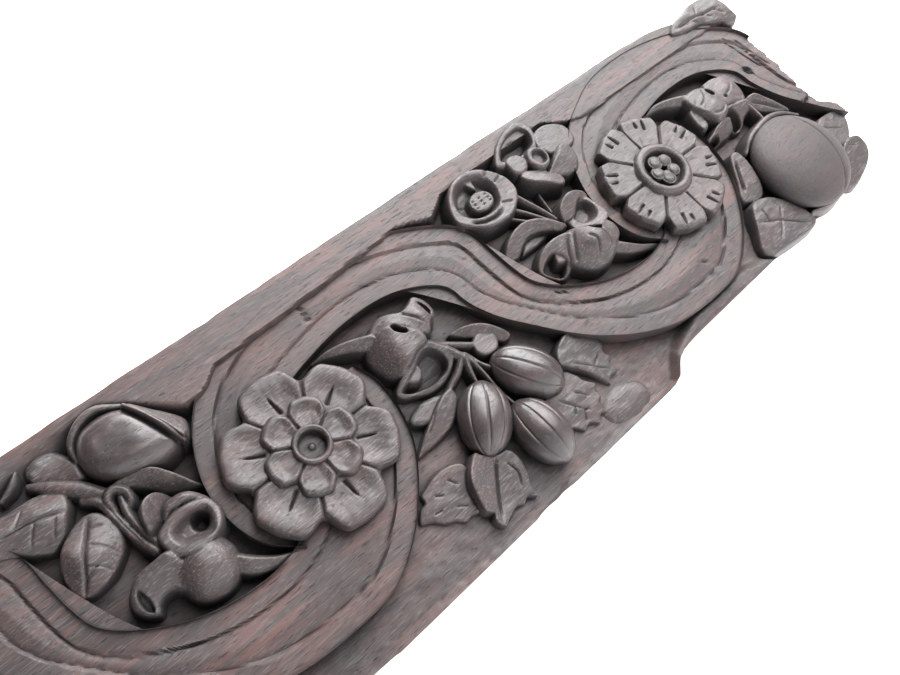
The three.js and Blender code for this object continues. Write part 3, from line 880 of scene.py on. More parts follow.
def make_peach():
    """The large stone fruit, with the seam down its right side."""
    centre, radius, top = (360, -50), 34.5, 37
    seam = spline([(372, -14), (378, -30), (379, -50), (373, -70), (360, -86)], 60)
    rings, around = PEACH_GRID
    share = np.linspace(0, 1, rings)
    widest = GROUND + PEACH_BULGE * (top - GROUND)
    r = np.append(np.sin(share * np.pi / 2) * radius, [radius * 0.985, radius * 0.93, radius * 0.85])
    level = np.cos(share * np.pi / 2) ** 0.9
    h = np.append(widest + (top - widest) * level, [widest - 2.5, widest - 5, ROOT])
    r, h, angle = r[:, None], h[:, None], round_of(around)
    u, v = centre[0] + r * np.cos(angle), centre[1] + r * np.sin(angle)
    off = np.min(np.hypot(u[..., None] - seam[:, 0], v[..., None] - seam[:, 1]), axis=-1)
    z = h + 0.2 * rough(u, v, size=9, octaves=2, seed=100)
    z = z - 1.6 * np.exp(-(off / 0.9) ** 2) * ease(h, widest - 2, widest + 2)
    return mesh_object("peach", *loft(np.stack([u, v, np.maximum(z, ROOT)], axis=-1)))


# ---- carving worked over a grid
LOW = ROOT + 0.4  # the level at which a worked piece is cut off inside the plank
UNWORKED = LOW - 1.0
WALL = 6.0  # how steeply a form's sides fall to the ground
FAR, TINY = 1e9, 1e-9


def oval(u, v, ru, rv):
    """Eight places round an oval."""
    return [(u + ru * math.cos(k * math.pi / 4), v + rv * math.sin(k * math.pi / 4)) for k in range(8)]


def nearest(u, v, line):
    """Each point's distance to a line, the share along it that is nearest, its side, and if it is inside."""
    best, along, side = np.full(u.shape, FAR), np.zeros(u.shape), np.ones(u.shape)
    inside = np.zeros(u.shape, bool)
    for k, (a, b) in enumerate(zip(line[:-1, :2], line[1:, :2])):
        du, dv = b - a
        ru, rv = u - a[0], v - a[1]
        t = np.clip((ru * du + rv * dv) / max(du * du + dv * dv, TINY), 0, 1)
        gap = np.hypot(ru - t * du, rv - t * dv)
        closer = gap < best
        best = np.where(closer, gap, best)
        along = np.where(closer, (k + t) / (len(line) - 1), along)
        side = np.where(closer, np.sign(du * rv - dv * ru), side)
        if a[1] != b[1]:
            inside ^= ((a[1] > v) != (b[1] > v)) & (ru < rv * du / dv)
    return best, along, side, inside


def sheet(knots, u, v):
    """The smoothest surface through the knots (u, v, h), or level at the mean of one or two knots."""
    k = np.asarray(knots, float)
    if len(k) < 3:
        return np.full(u.shape, k[:, 2].mean())

    def bend(r):
        return r * r * np.log(np.maximum(r, TINY))

    n = len(k)
    m = np.zeros((n + 3, n + 3))
    m[:n, :n] = bend(np.hypot(k[:, None, 0] - k[None, :, 0], k[:, None, 1] - k[None, :, 1]))
    m[:n, n:] = np.column_stack([np.ones(n), k[:, :2]])
    m[n:, :n] = m[:n, n:].T
    w = np.linalg.lstsq(m, np.append(k[:, 2], [0, 0, 0]), rcond=None)[0]
    h = w[n] + w[n + 1] * u + w[n + 2] * v
    for weight, (ku, kv, _) in zip(w[:n], k):
        h = h + weight * bend(np.hypot(u - ku, v - kv))
    return h


class Relief:
    """A surface over a rectangle of the bench, raised by forms and strokes and cut by hollows and lines."""

    def __init__(self, box, step=0.5):
        self.step = step
        self.u, self.v = np.meshgrid(np.arange(box[0], box[2], step), np.arange(box[1], box[3], step),
                indexing="ij")
        self.h = np.full(self.u.shape, UNWORKED)

    def near(self, line, reach):
        """The part of the grid within reach of a line, and its place in the grid."""
        start = (self.u[0, 0], self.v[0, 0])
        low = ((np.min(line[:, :2], axis=0) - reach - start) / self.step).astype(int)
        high = ((np.max(line[:, :2], axis=0) + reach - start) / self.step).astype(int) + 1
        window = tuple(slice(*np.maximum(ends, 0)) for ends in zip(low, high))
        return self.u[window], self.v[window], window

    def raise_to(self, window, h, fuse):
        """Raises the surface to h where that is higher; `fuse` fills the crease between the two."""
        old = self.h[window]
        self.h[window] = np.maximum(old, h) + np.maximum(fuse - np.abs(old - h), 0) ** 2 / (4 * fuse)

    def form(self, outline, knots, edge=1.4, fall=1.8, fuse=0.4, lumps=0.25, seed=1):
        """A form in an outline: its top runs through the knots and falls by `fall` over its last `edge`."""
        line = closed(outline)
        u, v, window = self.near(line, 6)
        gap, _, _, inside = nearest(u, v, line)
        inset = np.where(inside, gap, -gap)
        over = np.clip((edge - inset) / edge, 0, 1)
        h = sheet(knots, u, v) - fall * (1 - np.sqrt(1 - 0.96 * over ** 2)) - WALL * np.maximum(-inset, 0)
        self.raise_to(window, h + lumps * rough(u * 0.6, v, size=5, octaves=2, seed=seed), fuse)

    def stroke(self, path, ridge, lean=0.0):
        """A stem or curl along (u, v, half-width, top), ridged or round; `lean` moves its ridge leftwards."""
        line = spline(path, 9 * len(path))
        u, v, window = self.near(line, 8)
        gap, along, side, _ = nearest(u, v, line)
        steps = np.linspace(0, 1, len(line))
        width, top = (np.interp(along, steps, line[:, k]) for k in (2, 3))
        width = np.maximum(width, 0.3)
        x = gap * side / width
        x = np.where(x > lean, (x - lean) / (1 - lean), (x - lean) / (1 + lean))
        rise = np.minimum(width * (0.6 + 0.4 * ridge), 4.5)
        h = top - rise * np.minimum(np.abs(x), 1) ** (2.6 - 1.4 * ridge) - WALL * np.maximum(gap - width, 0)
        self.raise_to(window, h, 0.6)

    def hollow(self, outline, depth, width):
        """A hollow within an outline, its sides sloping over `width`."""
        line = closed(outline)
        u, v, window = self.near(line, 1)
        gap, _, _, inside = nearest(u, v, line)
        self.h[window] -= depth * ease(np.where(inside, gap, 0), 0, width)

    def score(self, lines, depth, width):
        """Knife lines, fading at both ends."""
        for path in lines:
            line = spline(path, 8 * len(path))
            u, v, window = self.near(line, 3 * width)
            gap, along, _, _ = nearest(u, v, line)
            faded = ease(along, -0.05, 0.15) * ease(-along, -1.05, -0.7)
            self.h[window] -= depth * np.exp(-(gap / width) ** 2) * faded

    def solid(self, name):
        """The worked surface as one closed piece, cut off inside the plank."""
        u, v = self.u, self.v
        h = np.maximum(self.h, UNWORKED) + 0.14 * rough(u * 0.35, v, size=2.4, octaves=2, seed=len(name))
        worked = mesh_object(name, *block(u, v, h, ROOT - 1.5))
        (left, near), (right, far) = (u.min() - 5, v.min() - 5), (u.max() + 5, v.max() + 5)
        keep = [[(left, near, level), (right, near, level), (right, far, level), (left, far, level)]
                for level in (LOW, CLEAR)]
        return trimmed(worked, mesh_object("keep", *loft(keep)))


# ---- the sprays
def make_left_spray():
    r = Relief((-150, -40, -28, 84))
    r.form([(-104, 66), (-104, 73), (-97, 77), (-90, 75), (-86, 68), (-84, 60), (-86, 54), (-92, 56), (-100,
            62)], [(-98, 72, 22), (-88, 58, 23.5), (-100, 64, 21), (-88, 72, 20.5)], 3, 3, seed=2)
    r.stroke([(-118, 67, 0.8, 22), (-111, 70, 1.6, 24), (-105, 76, 0.8, 23)], 0.8)
    r.form([(-148, 60), (-135, 63), (-118, 61), (-104, 60), (-97, 54), (-97, 48), (-101, 43), (-106, 37),
            (-113, 34), (-119, 37), (-128, 43), (-140, 49), (-148, 54)], [(-140, 55, 25), (-125, 52, 27.5),
            (-110, 49, 27), (-100, 46.5, 25), (-113, 36, 22.5), (-127, 44, 23.5), (-105, 58, 22), (-122, 60,
            23)], 1.4, 1.6, seed=3)
    r.form([(-95, 39.5), (-101, 38.5), (-107, 35.5), (-112, 31), (-116, 25), (-117.5, 18), (-117, 11),
            (-112, 8.5), (-103, 9), (-96, 12), (-90, 17), (-87, 24), (-87, 30), (-90, 37)], [(-93, 36, 23),
            (-101, 27, 25.5), (-110, 15, 24), (-115, 22, 22), (-105, 35, 23.5), (-95, 15, 22.5), (-88, 26,
            22), (-109, 27, 26.5), (-98, 20, 26)], seed=4)
    r.stroke([(-106, 66, 1.5, 21), (-98, 58, 3.4, 23.5), (-90, 50.5, 3.8, 24.5), (-84, 43, 3, 24)], 0.1)
    r.form([(-79, 43), (-70, 41), (-62, 38), (-56, 31), (-51, 23), (-48, 18), (-56, 21), (-63, 25), (-69,
            32), (-75, 38)], [(-75, 40, 25), (-63, 33, 26), (-52, 22, 22), (-68, 33, 23.5)], 1.3, 1.6,
            seed=5)
    r.stroke([(-92, 46, 2, 22), (-87, 40, 2.2, 24), (-85.5, 30, 2.3, 24), (-84, 18, 2.3, 24), (-81, 6, 2.6,
            25)], 0.5)
    r.stroke([(-79, 36, 1.8, 24), (-81, 27, 2, 25), (-80, 16, 2, 25), (-77, 5, 2.4, 26), (-73, -3, 2.5,
            28)], 0.5)
    r.stroke([(-84.5, 33, 1.4, 24), (-84, 38.5, 1.8, 26), (-80, 41, 2, 26.5), (-76, 37.5, 2, 26), (-76.5,
            32, 1.8, 25), (-80, 29.5, 1.4, 24)], 0.5)
    # the husk: a rough lobe, a curled petal, a bulb, a long cup and a horn
    r.form([(-79, 11), (-78, 19), (-74, 25), (-67, 26.5), (-62, 22), (-60, 16), (-66, 12), (-73, 8)], [(-72,
            18, 28), (-66, 22, 27), (-76, 14, 27)], 3.5, 4, lumps=0.9, seed=6)
    r.form([(-77, 1), (-85, 2.5), (-94, 2), (-100, -2), (-102.5, -8), (-100, -14), (-95.5, -17), (-92, -13),
            (-86, -12), (-80, -17), (-74, -12)], [(-78, -5, 31), (-87, -3, 30), (-96, -3, 28.5), (-97, -13,
            25), (-87, -10, 27)], 3, 3.6, fuse=1, seed=7)
    r.form([(-83, -8), (-83, -17), (-79, -25), (-71, -28.5), (-63, -27), (-57, -21), (-55, -13), (-58, -5),
            (-65, -1), (-75, -2)], [(-70, -13, 34), (-62, -11, 33), (-78, -12, 31), (-70, -22, 31)], 9, 11,
            fuse=1.5, lumps=0.1)
    r.form([(-78, 9), (-77, -1), (-71, -6), (-62, -7), (-54, -4), (-49.5, 3), (-51, 11), (-58, 14), (-66,
            15), (-73, 13)], [(-75, 4, 30.5), (-66, -5, 33), (-57, -5, 32), (-51, 3, 29), (-59, 13, 29.5),
            (-69, 12, 29.5)], 1.6, 2, fuse=1, lumps=0.1)
    r.hollow([(-73.5, 8), (-73, 0), (-67, -3.5), (-58, -5), (-53, 1), (-53, 9), (-60, 12), (-67, 12)], 6.5,
            6)
    r.hollow(oval(-59.5, 4.5, 5, 5), 8, 3)
    r.stroke([(-70, 15, 2, 27), (-66, 18, 2.6, 29.5), (-58, 17, 2.6, 30), (-52, 11, 1.8, 26), (-50, 6, 0.8,
            22)], 0.6)
    r.hollow([(-96, -2.5), (-99, -6), (-99, -12), (-96, -14.5), (-94.5, -9)], 4, 1.4)
    r.stroke([(-60, -18, 4.2, 27), (-54, -25, 4.4, 27), (-46, -30.5, 3.4, 25), (-38, -33.5, 2, 23), (-31,
            -35, 0.6, 21)], 0.7, 0.5)
    # the fruit's rim and its two sepals
    r.stroke([(-84, 62, 1, 24), (-82, 69, 1.7, 28), (-74, 74.5, 1.9, 30), (-65, 75.5, 1.9, 30), (-56, 71,
            1.4, 28)], 0.3)
    r.form([(-53, 69), (-45, 61), (-38, 53), (-36.5, 47), (-42, 40), (-46, 52)], [(-51, 64, 31), (-44, 50,
            30.5), (-39, 52, 25), (-46, 60, 28)], 1.5, 2, seed=8)
    r.score([[(-95, 37), (-103, 26), (-110, 15), (-115, 9)], [(-128, 51.5), (-112, 49.5), (-99, 45.5)]],
            1.5, 0.9)
    r.score([[(-101, 27), (-96, 22), (-92, 15)], [(-107, 20), (-101, 15), (-99, 11)], [(-112, 49), (-119,
            41)], [(-104, 46), (-110, 38)], [(-120, 51), (-113, 58)], [(-111, 14), (-104, 17), (-96, 16)],
            [(-97, 33), (-91, 31)], [(-86, 38), (-85, 24), (-83, 10)], [(-83, 32), (-82, 18), (-80, 8)]],
            0.7, 0.5)
    return r.solid("left_spray")


def make_plum_spray():
    r = Relief((12, -95, 164, 44))
    r.form([(46, -21), (52, -17), (60, -16), (70, -20), (66, -25), (54, -27)], [(58, -20, 20)], 3, 2,
            seed=1)
    r.form([(38, -36), (45, -31), (53, -27), (61, -23), (68, -20), (74, -20), (74, -26), (69, -31), (62,
            -35), (52, -36.5), (44, -36.5)], [(60, -26, 22.5), (70, -23, 22), (45, -35, 19), (62, -34, 20)],
            1.5, 1.8, seed=2)
    r.form([(95, 3), (103, 2), (111, -2), (117, -8), (122, -17), (117, -19), (111, -13), (105, -7), (99,
            -2)], [(100, 1, 20), (110, -4, 22), (118, -15, 20), (108, -9, 19.5)], 1.3, 1.5, seed=3)
    r.form(oval(107, -13, 7.5, 7), [(107, -13, 20.5)], 1.4, 1.6, seed=4)
    # the leaves round the plums
    r.form([(31, -49.5), (37, -48), (45, -48.5), (52, -52), (52, -58), (47, -64), (44, -70), (43.5, -75.5),
            (39, -74.5), (35, -75), (31, -71), (26, -68.5), (22, -64), (17, -61), (21, -56), (25, -55), (26,
            -51)], [(40, -55, 18.5), (30, -64, 17.5), (46, -66, 18), (20, -60, 16.5)], 1, 1.3, lumps=0.5,
            seed=5)
    r.form([(59, -53), (52, -57), (47, -63), (45, -70), (44, -77), (47, -81), (45, -84), (47.5, -89), (53,
            -87.5), (59, -86), (63, -87.5), (67, -86), (71, -89), (72, -83), (75, -77), (77, -69), (75,
            -62), (68, -60), (62, -56)], [(60, -59, 23), (52, -68, 23), (47, -82, 21), (66, -62, 20.5), (59,
            -72, 19), (52, -82, 18.5), (72, -70, 20), (68, -83, 19)], 1.2, 1.5, lumps=0.3, seed=6)
    r.form([(108, -57), (114, -55), (122, -52), (130, -51), (134, -56), (136, -62), (140, -67), (137, -70),
            (138, -74), (134, -76), (134, -82), (130, -81), (126, -84), (121, -80.5), (116, -81.5), (112,
            -77), (108, -75), (106, -67)], [(115, -60, 19), (128, -58, 18.5), (122, -70, 18.3), (134, -74,
            17), (110, -72, 17.5)], 1, 1.3, lumps=0.5, seed=7)
    r.form([(129, -47), (133, -41), (139, -38), (146, -36.5), (152, -39), (158, -45), (160, -53), (157,
            -57), (159, -62), (156, -64), (156, -70), (150, -70), (147, -73), (144, -68), (141, -62), (137,
            -56), (133, -52)], [(138, -43, 22.5), (150, -45, 20.5), (145, -55, 19.5), (155, -60, 18), (150,
            -69, 17.5)], lumps=0.9, seed=8)
    r.form([(131, -82), (137, -76.5), (146, -74.5), (156, -77), (163, -83), (163, -91), (154, -95), (140,
            -94), (133, -90)], [(147, -84, 15.6)], 9, 3, lumps=0.3, seed=9)
    # stems from the husk to the plums
    r.stroke([(80, 5, 3, 27), (85, -1, 2.8, 26), (89, -8, 2.6, 25), (91, -12, 2.4, 24)], 0.7)
    r.stroke([(83, 4, 1, 24), (92, -3, 2.2, 23), (101, -9, 1.6, 21)], 0.9)
    r.stroke([(91, -10, 2, 24), (84, -15.5, 1.8, 23), (76, -19, 1.5, 22), (68, -22, 1, 21)], 0.9)
    r.stroke([(92, -11, 1.8, 24), (89, -19, 1.7, 23), (87, -27, 0.8, 22)], 0.9)
    r.stroke([(93, -11, 1.6, 23), (94, -24, 1.3, 22), (94, -38, 1.3, 21), (95, -50, 1.3, 22)], 0.9)
    r.stroke([(94, -12, 1.4, 22), (97, -20, 1.3, 21), (101, -27, 1.3, 22)], 0.9)
    # the husk: a horn, a boxy body, a folded petal over it and a curled lip under it
    r.stroke([(28, 34, 0.6, 21), (37, 32.5, 2.2, 25), (47, 29, 3.4, 27.5), (57, 24, 4.4, 29)], 0.7, 0.5)
    r.form([(50, -5), (56, -1), (63, 2), (70, 5), (79, 6), (85, 0), (87, -7), (83, -12), (75, -15.5), (66,
            -15.5), (58, -12), (52, -9)], [(60, -1, 26.5), (70, 3, 27.5), (78, 4, 27.5), (85, -6, 24.5),
            (68, -13, 19.5), (54, -7, 21)], 1.2, 1.4, seed=10)
    r.hollow([(53, -5.5), (60, -2.5), (66, 0), (72, 3.2), (78, 3.5), (82.5, -2), (83, -8), (79, -12), (69,
            -13), (60, -11), (55, -8.5)], 8, 2.6)
    r.form([(58, -1), (66, 2), (69, -2), (65, -7), (60, -6)], [(62, -2, 25), (66, -4, 22)], 1.2, 1.6,
            seed=11)
    r.form([(51, 21), (49, 12), (52, 4), (57, -0.5), (63, 0.5), (71, 4), (79, 5.5), (80, 11), (76, 17), (72,
            21), (66, 25), (58, 25)], [(64, 14, 32.5), (74, 9, 31.5), (63, 4, 31), (62, 22, 30.5), (55, 12,
            27), (51, 16, 23), (53, 5, 24)], 2.4, 3.2, fuse=1, lumps=0.1, seed=12)
    r.form([(55, 24), (61, 29), (68, 31.5), (74, 29.5), (79, 26.5), (85, 27.5), (91, 30), (95.5, 25.5), (96,
            18), (92, 14), (88, 12.5), (85, 9), (80, 10), (77, 14), (74, 19), (66, 23)], [(68, 30, 28), (61,
            27, 27.5), (70, 24, 31), (79, 20, 31), (85, 18, 32.5), (90, 27, 28), (84, 11, 30), (95, 19,
            26)], lumps=0.3, seed=13)
    r.hollow([(68.5, 23), (71.5, 22.5), (74.5, 17), (73.5, 14.5), (70.5, 16), (68, 19.5)], 8, 1.6)
    r.hollow([(90.5, 26), (93, 24), (93.5, 18), (91, 15.5), (90, 20)], 4, 1.3)
    r.score([[(67, -61), (59, -71), (53, -79), (47, -88)]], 1.6, 0.9)
    r.score([[(70, -66), (71, -74), (67, -81)], [(41, -53), (44, -59)], [(31, -55.5), (35, -58.5)], [(25,
            -62), (30, -63)], [(36, -66), (41, -70)], [(115, -61), (121, -69), (127, -77)], [(121, -69),
            (117, -73)], [(126, -63), (132, -70)], [(120, -79), (124, -74), (127, -75)], [(135, -50), (146,
            -60), (153, -67)], [(146, -60), (155, -55)], [(60, -24), (48, -32)], [(78, 26), (82, 19), (86,
            12)]], 0.9, 0.55)
    return r.solid("plum_spray")


def make_flower_spray():
    r = Relief((136, -38, 250, 84))
    # stems and the long leaf
    r.form([(150, 14), (154, 20), (161, 24.5), (170, 26.5), (178, 25.5), (186, 21), (192, 15), (195, 10),
            (190, 9), (185, 13), (178, 17), (171, 18), (165, 16), (159, 13)], [(152, 15, 21), (162, 21, 25),
            (172, 23, 26), (186, 17, 25.5), (170, 18.5, 23.5), (192, 11, 25)])
    r.form([(163, 13), (169, 18), (177, 18), (184, 13.5), (177, 12), (169, 12)], [(174, 15, 19.5)], 2, 2)
    for row in ([(195, 12, 1.8, 24), (192.5, 24, 1.8, 23.5), (189, 34, 1.9, 23.5), (185, 44, 2.2, 24)],
            [(194, 12, 1.6, 23.5), (188, 24, 1.5, 22.5), (182, 33, 1.5, 22.5), (176, 40, 1.5, 23)], [(193,
            12, 1.5, 23), (185, 22, 1.4, 21.5), (177, 30, 1.4, 21.5), (170, 37, 1.4, 22)], [(196, 14, 1.2,
            21), (198, 26, 1.2, 20), (200, 36, 1.2, 20)]):
        r.stroke(row, 0.9)
    # the cup flower
    r.form([(142, 51), (144.5, 58), (150, 65), (158, 70), (168, 71), (177, 68), (184, 61), (187.5, 53),
            (187, 45), (182, 39), (174, 34.5), (165, 33.5), (155, 35.5), (148, 41), (143, 46)], [(145, 52,
            27.5), (152, 64, 28), (166, 69, 28), (182, 60, 27.5), (185, 47, 27), (165, 36, 28), (150, 42,
            27.5), (165, 52, 25)], 1.6, 2, seed=2)
    r.hollow([(147, 54), (150, 61.5), (157, 67.5), (167, 68.5), (175, 65), (178.5, 57), (177, 49), (172,
            43), (163, 41), (154, 43), (148.5, 48)], 6.5, 5)
    r.form([(164, 68), (167, 69.5), (170, 68), (168.5, 60), (166.5, 60)], [(167, 68, 27.5), (167, 61, 22)],
            1.2, 1.6)
    r.form(oval(164.5, 51.5, 8.4, 6.6), [(164.5, 51.5, 26)], 1.3, 2, fuse=0.3)
    r.score([[(149, 43.5), (156, 39.8), (164, 38.6), (172, 40.5)]], 2.6, 1.1)
    r.score([[(179, 56), (186, 58)], [(176, 62), (182, 66)], [(173, 44), (180, 40)], [(150, 58), (157,
            55)]], 0.9, 0.7)
    for k in range(9):
        r.hollow(oval(159.5 + 5 * (k % 3), 49 + 2.4 * (k // 3), 1.3, 0.9), 0.7, 0.8)
    # the opener flower that runs into the margin
    r.form([(218, 57), (221, 64), (227, 68), (237, 68), (247, 62), (247, 52), (240, 48), (231, 49), (223,
            50)], [(225, 58, 27), (236, 62, 26), (244, 56, 24.5), (232, 51, 26)], 2, 2, seed=3)
    r.form([(188, 63), (192, 69), (198, 74), (206, 77.5), (213, 79), (219, 79.5), (224, 76), (225, 69),
            (222, 61), (214, 57), (204, 57), (195, 59)], [(191, 65, 27), (200, 74, 27.5), (213, 77.5, 28),
            (222, 75, 27.5), (221, 63, 27), (205, 60, 26)], 1.4, 1.8, seed=4)
    r.hollow([(192.5, 64.5), (198, 71), (206, 75), (213, 76.3), (219, 76), (222, 70), (218.5, 62), (208,
            59.5), (198, 60.5)], 10, 4.5)
    r.form([(193.5, 62), (193, 54), (197, 50), (203, 51), (206.5, 56), (204.5, 62), (199, 64)], [(197, 57,
            28), (203, 56, 27)], 2, 2.6, lumps=0.6, seed=5)
    r.form([(194.5, 49), (197, 43), (204, 36.5), (212, 31), (217, 32.5), (217.5, 39), (212, 44.5), (205,
            49), (199, 51)], [(198, 47, 27.5), (207, 41, 28), (214, 34, 26.5), (210, 46, 26)], 1.5, 2,
            seed=6)
    r.form([(211, 41.5), (216, 37), (223, 33.5), (230, 33.5), (235.5, 38), (237, 46), (233, 51.5), (226,
            50), (218, 46)], [(214, 41, 27), (224, 46, 28.5), (232, 49, 28), (226, 36, 25), (234, 40,
            25.5)], 1.5, 2, seed=7)
    r.form(oval(212.5, 52.5, 7.4, 8.2), [(212.5, 52.5, 29)], 2, 3)
    r.hollow(oval(213.5, 52.5, 5, 5.8), 3.5, 2.4)
    r.score([[(211, 42), (219, 46.3), (229, 50)]], 2.0, 0.9)
    # the husk: petals left, up and right of a faceted body with a horn
    r.form([(160.5, -2), (165, 4), (172, 7.5), (181, 8), (190, 5), (187, -3), (181, -9), (173, -13.5), (166,
            -9)], [(172, 6, 26.5), (186, 4, 28), (163, -1, 23), (172, -12, 19), (182, -5, 26)], 1.2, 1.5,
            seed=8)
    r.hollow([(162.5, -2.5), (168, 1.5), (174, 2.5), (178, -2), (177, -8), (172, -12), (166, -8)], 9, 2.4)
    r.form([(173, -4), (175, 1), (180, 3), (182, -2), (178, -6)], [(176, -2, 23), (180, 1, 25.5)], 1.3, 1.6)
    r.form([(196, 2), (197, 12), (203, 17), (210, 20), (218, 18.5), (219, 9), (218, 0), (212, -3), (204,
            -1)], [(200, 6, 26.5), (210, 18, 25), (217, 12, 27), (214, 0, 30), (204, 1, 29)], seed=9)
    r.hollow([(201, 5), (201, 12), (206, 16), (212, 18), (216.5, 15), (216.5, 7), (212, 2), (206, 1.5)], 6,
            4.5)
    r.form([(194.5, 12), (195.5, 18), (200, 22), (209, 24), (218, 21), (219.5, 16), (212, 17.5), (207,
            14.5), (202, 11)], [(198, 16, 28), (208, 21, 29.5), (217, 18.5, 27), (204, 14, 27)], 1.2, 1.6,
            seed=10)
    r.form([(184, 5), (191, 7.5), (197, 4), (204, -1), (212, -0.5), (216.5, -6), (216, -13), (209, -17.5),
            (203, -21.5), (195, -23), (187, -21), (181, -15), (177, -8), (179, -1)], [(193, -1, 31.5), (199,
            -10, 33.5), (188, -12, 28.5), (210, -6, 31), (204, -17, 29), (182, -7, 27), (192, -20, 26),
            (189, 5, 27)], 2.6, 4, fuse=1, lumps=0.1, seed=11)
    r.hollow([(199.5, 2), (203, 0.5), (207, -4), (204.5, -5.5), (200.5, -2)], 6, 1.4)
    r.stroke([(206, -15, 4, 27), (214, -22, 3.6, 26), (222, -27, 2.6, 24), (231, -31, 1.8, 22), (240, -33.5,
            0.5, 20)], 0.7, 0.5)
    r.score([[(178, -9), (183, -1), (190, 6)], [(181, -11), (187, -2), (192, 4)], [(195, -3), (197, -9),
            (193, -17)], [(204, -6), (206, -12), (203, -18)]], 0.9, 0.7)
    return r.solid("flower_spray")


def make_peach_spray():
    r = Relief((280, -92, 432, 84), 0.6)
    # leaves beside the peach
    r.form([(305, -45), (311, -35), (317, -25), (322, -19), (328, -20), (329, -30), (326, -43), (320, -51),
            (311, -51)], [(322, -24, 24), (313, -36, 22), (325, -40, 22.5), (312, -49, 20)], seed=1)
    r.form([(287, -76), (293, -66), (300, -56), (306, -51), (316, -52), (325, -58), (332, -68), (336, -78),
            (334, -86), (318, -86), (300, -84), (290, -82)], [(300, -60, 23), (315, -58, 22.5), (302, -76,
            21.5), (328, -76, 21), (292, -76, 20)], lumps=0.5, seed=2)
    r.form([(392, -44), (400, -38), (412, -38), (422, -40), (424, -47), (417, -55), (408, -60), (396, -60)],
            [(400, -44, 24.5), (418, -44, 22), (404, -56, 24)], lumps=0.5, seed=3)
    r.form([(378, -80), (386, -70), (396, -62), (408, -60), (416, -64), (416, -74), (408, -80), (396, -84),
            (384, -86)], [(396, -66, 24), (410, -68, 22.5), (390, -80, 21)], lumps=0.5, seed=4)
    r.form([(366, 70), (374, 76), (386, 77.5), (396, 81), (404, 81), (413, 78.5), (418, 70), (421, 61),
            (423, 55), (414, 51), (408, 58), (400, 61), (392, 65), (380, 66)], [(376, 72, 27), (392, 72,
            29), (410, 68, 29.5), (400, 79, 27), (416, 56, 26), (395, 64, 26)], 1.3, 1.6, lumps=0.6, seed=5)
    r.form([(367, 3), (374, 3.5), (380, -3), (386, -11), (391, -20), (384, -17), (375, -11), (369, -5)],
            [(370, 2, 26), (378, -3, 26), (388, -17, 23), (374, -8, 22)], 1.2, 1.5, seed=6)
    # the husk: horn, body, wide right lobe and small lower petals
    r.stroke([(299, 35.5, 0.6, 22), (308, 36, 2, 25), (318, 33, 3, 27), (329, 28, 4, 28)], 0.7, 0.5)
    r.form([(318, -3), (324, -1), (330, 1), (338, 2), (344, 0), (343, -6), (336, -8.5), (327, -8), (320,
            -8)], [(326, -3, 25), (338, -1, 26.5), (335, -7, 22)], 1.4, 2, seed=7)
    r.hollow([(318.5, -4), (323, -2.5), (328, -3.5), (327, -7.5), (320, -8)], 8, 1.5)
    r.form([(321, 4), (320.5, 12), (323, 19), (327, 21), (329, 13), (327, 5)], [(324, 12, 26.5)], 1.8, 2.4,
            seed=8)
    r.form([(346, 5), (350, 7), (358, 5), (367, 3), (366, -3), (358, -5), (352, -9), (345, -9), (342, -4)],
            [(356, 2, 26), (364, 1, 26), (346, -6, 21)], seed=9)
    r.hollow([(343.5, -7), (343, 1), (347, 5), (352, 4), (354, -2), (352, -8), (347, -9)], 8, 2)
    r.form([(346, 27), (354, 29), (362, 27), (368, 25), (370, 18), (370, 9), (366, 3), (357, 6), (349, 8),
            (345, 15)], [(352, 24, 28.5), (364, 22, 29), (367, 10, 27), (354, 10, 28.5), (358, 17, 30)],
            1.8, 2.6, seed=10)
    r.form([(326, 28), (334, 30), (343, 28), (349, 22), (350, 13), (346, 5), (339, 1.5), (333, 2), (330, 8),
            (327, 15), (325, 22)], [(331, 22, 30), (338, 24, 30.5), (339, 12, 32), (334, 4, 30), (346, 14,
            30.5), (344, 24, 30)], 2.4, 3.6, fuse=1, lumps=0.3, seed=11)
    r.hollow([(343, 24.5), (346, 24.5), (348, 20), (346.5, 17.5), (343.5, 19)], 6, 1.3)
    r.hollow(oval(353.5, 13, 1.6, 1.2), 2.5, 1.0)
    r.stroke([(356, 7, 2.6, 27), (361, 4, 2.4, 27), (366, 1, 2.4, 26)], 0.7)
    r.stroke([(365, 1, 1.7, 26), (365.5, -8, 1.5, 26), (364, -17, 1.6, 26)], 0.8)
    # the rim over the peach and the lip under it
    r.stroke([(334, -24, 1.2, 24), (342, -19, 1.8, 27), (354, -16.5, 2, 29), (366, -16, 2, 29.5), (378, -19,
            1.8, 28), (390, -26, 1, 25)], 0.4)
    r.stroke([(340, -79, 1, 20), (352, -82.5, 1.8, 22), (366, -82, 2, 23), (379, -76, 1.4, 23)], 0.5)
    r.score([[(311, -42), (317, -31), (322, -23)]], 2.2, 1.0)
    r.score([[(330, -83), (314, -70), (298, -62)], [(369, 1), (378, -7), (388, -18)], [(372, 71), (392,
            70.5), (416, 66)]], 1.3, 0.8)
    r.score([[(314, -70), (322, -62)], [(306, -66), (308, -56)], [(314, -70), (304, -78)], [(386, 70), (390,
            66)], [(398, 70), (404, 64)], [(408, 68), (414, 61)], [(392, 71), (398, 77)], [(400, -62), (409,
            -68)], [(396, -44), (410, -52)], [(352, 13), (360, 15), (366, 19)], [(330, 17), (337, 20), (342,
            27)], [(333, 8), (340, 6), (347, 9)]], 0.9, 0.6)
    return r.solid("peach_spray")


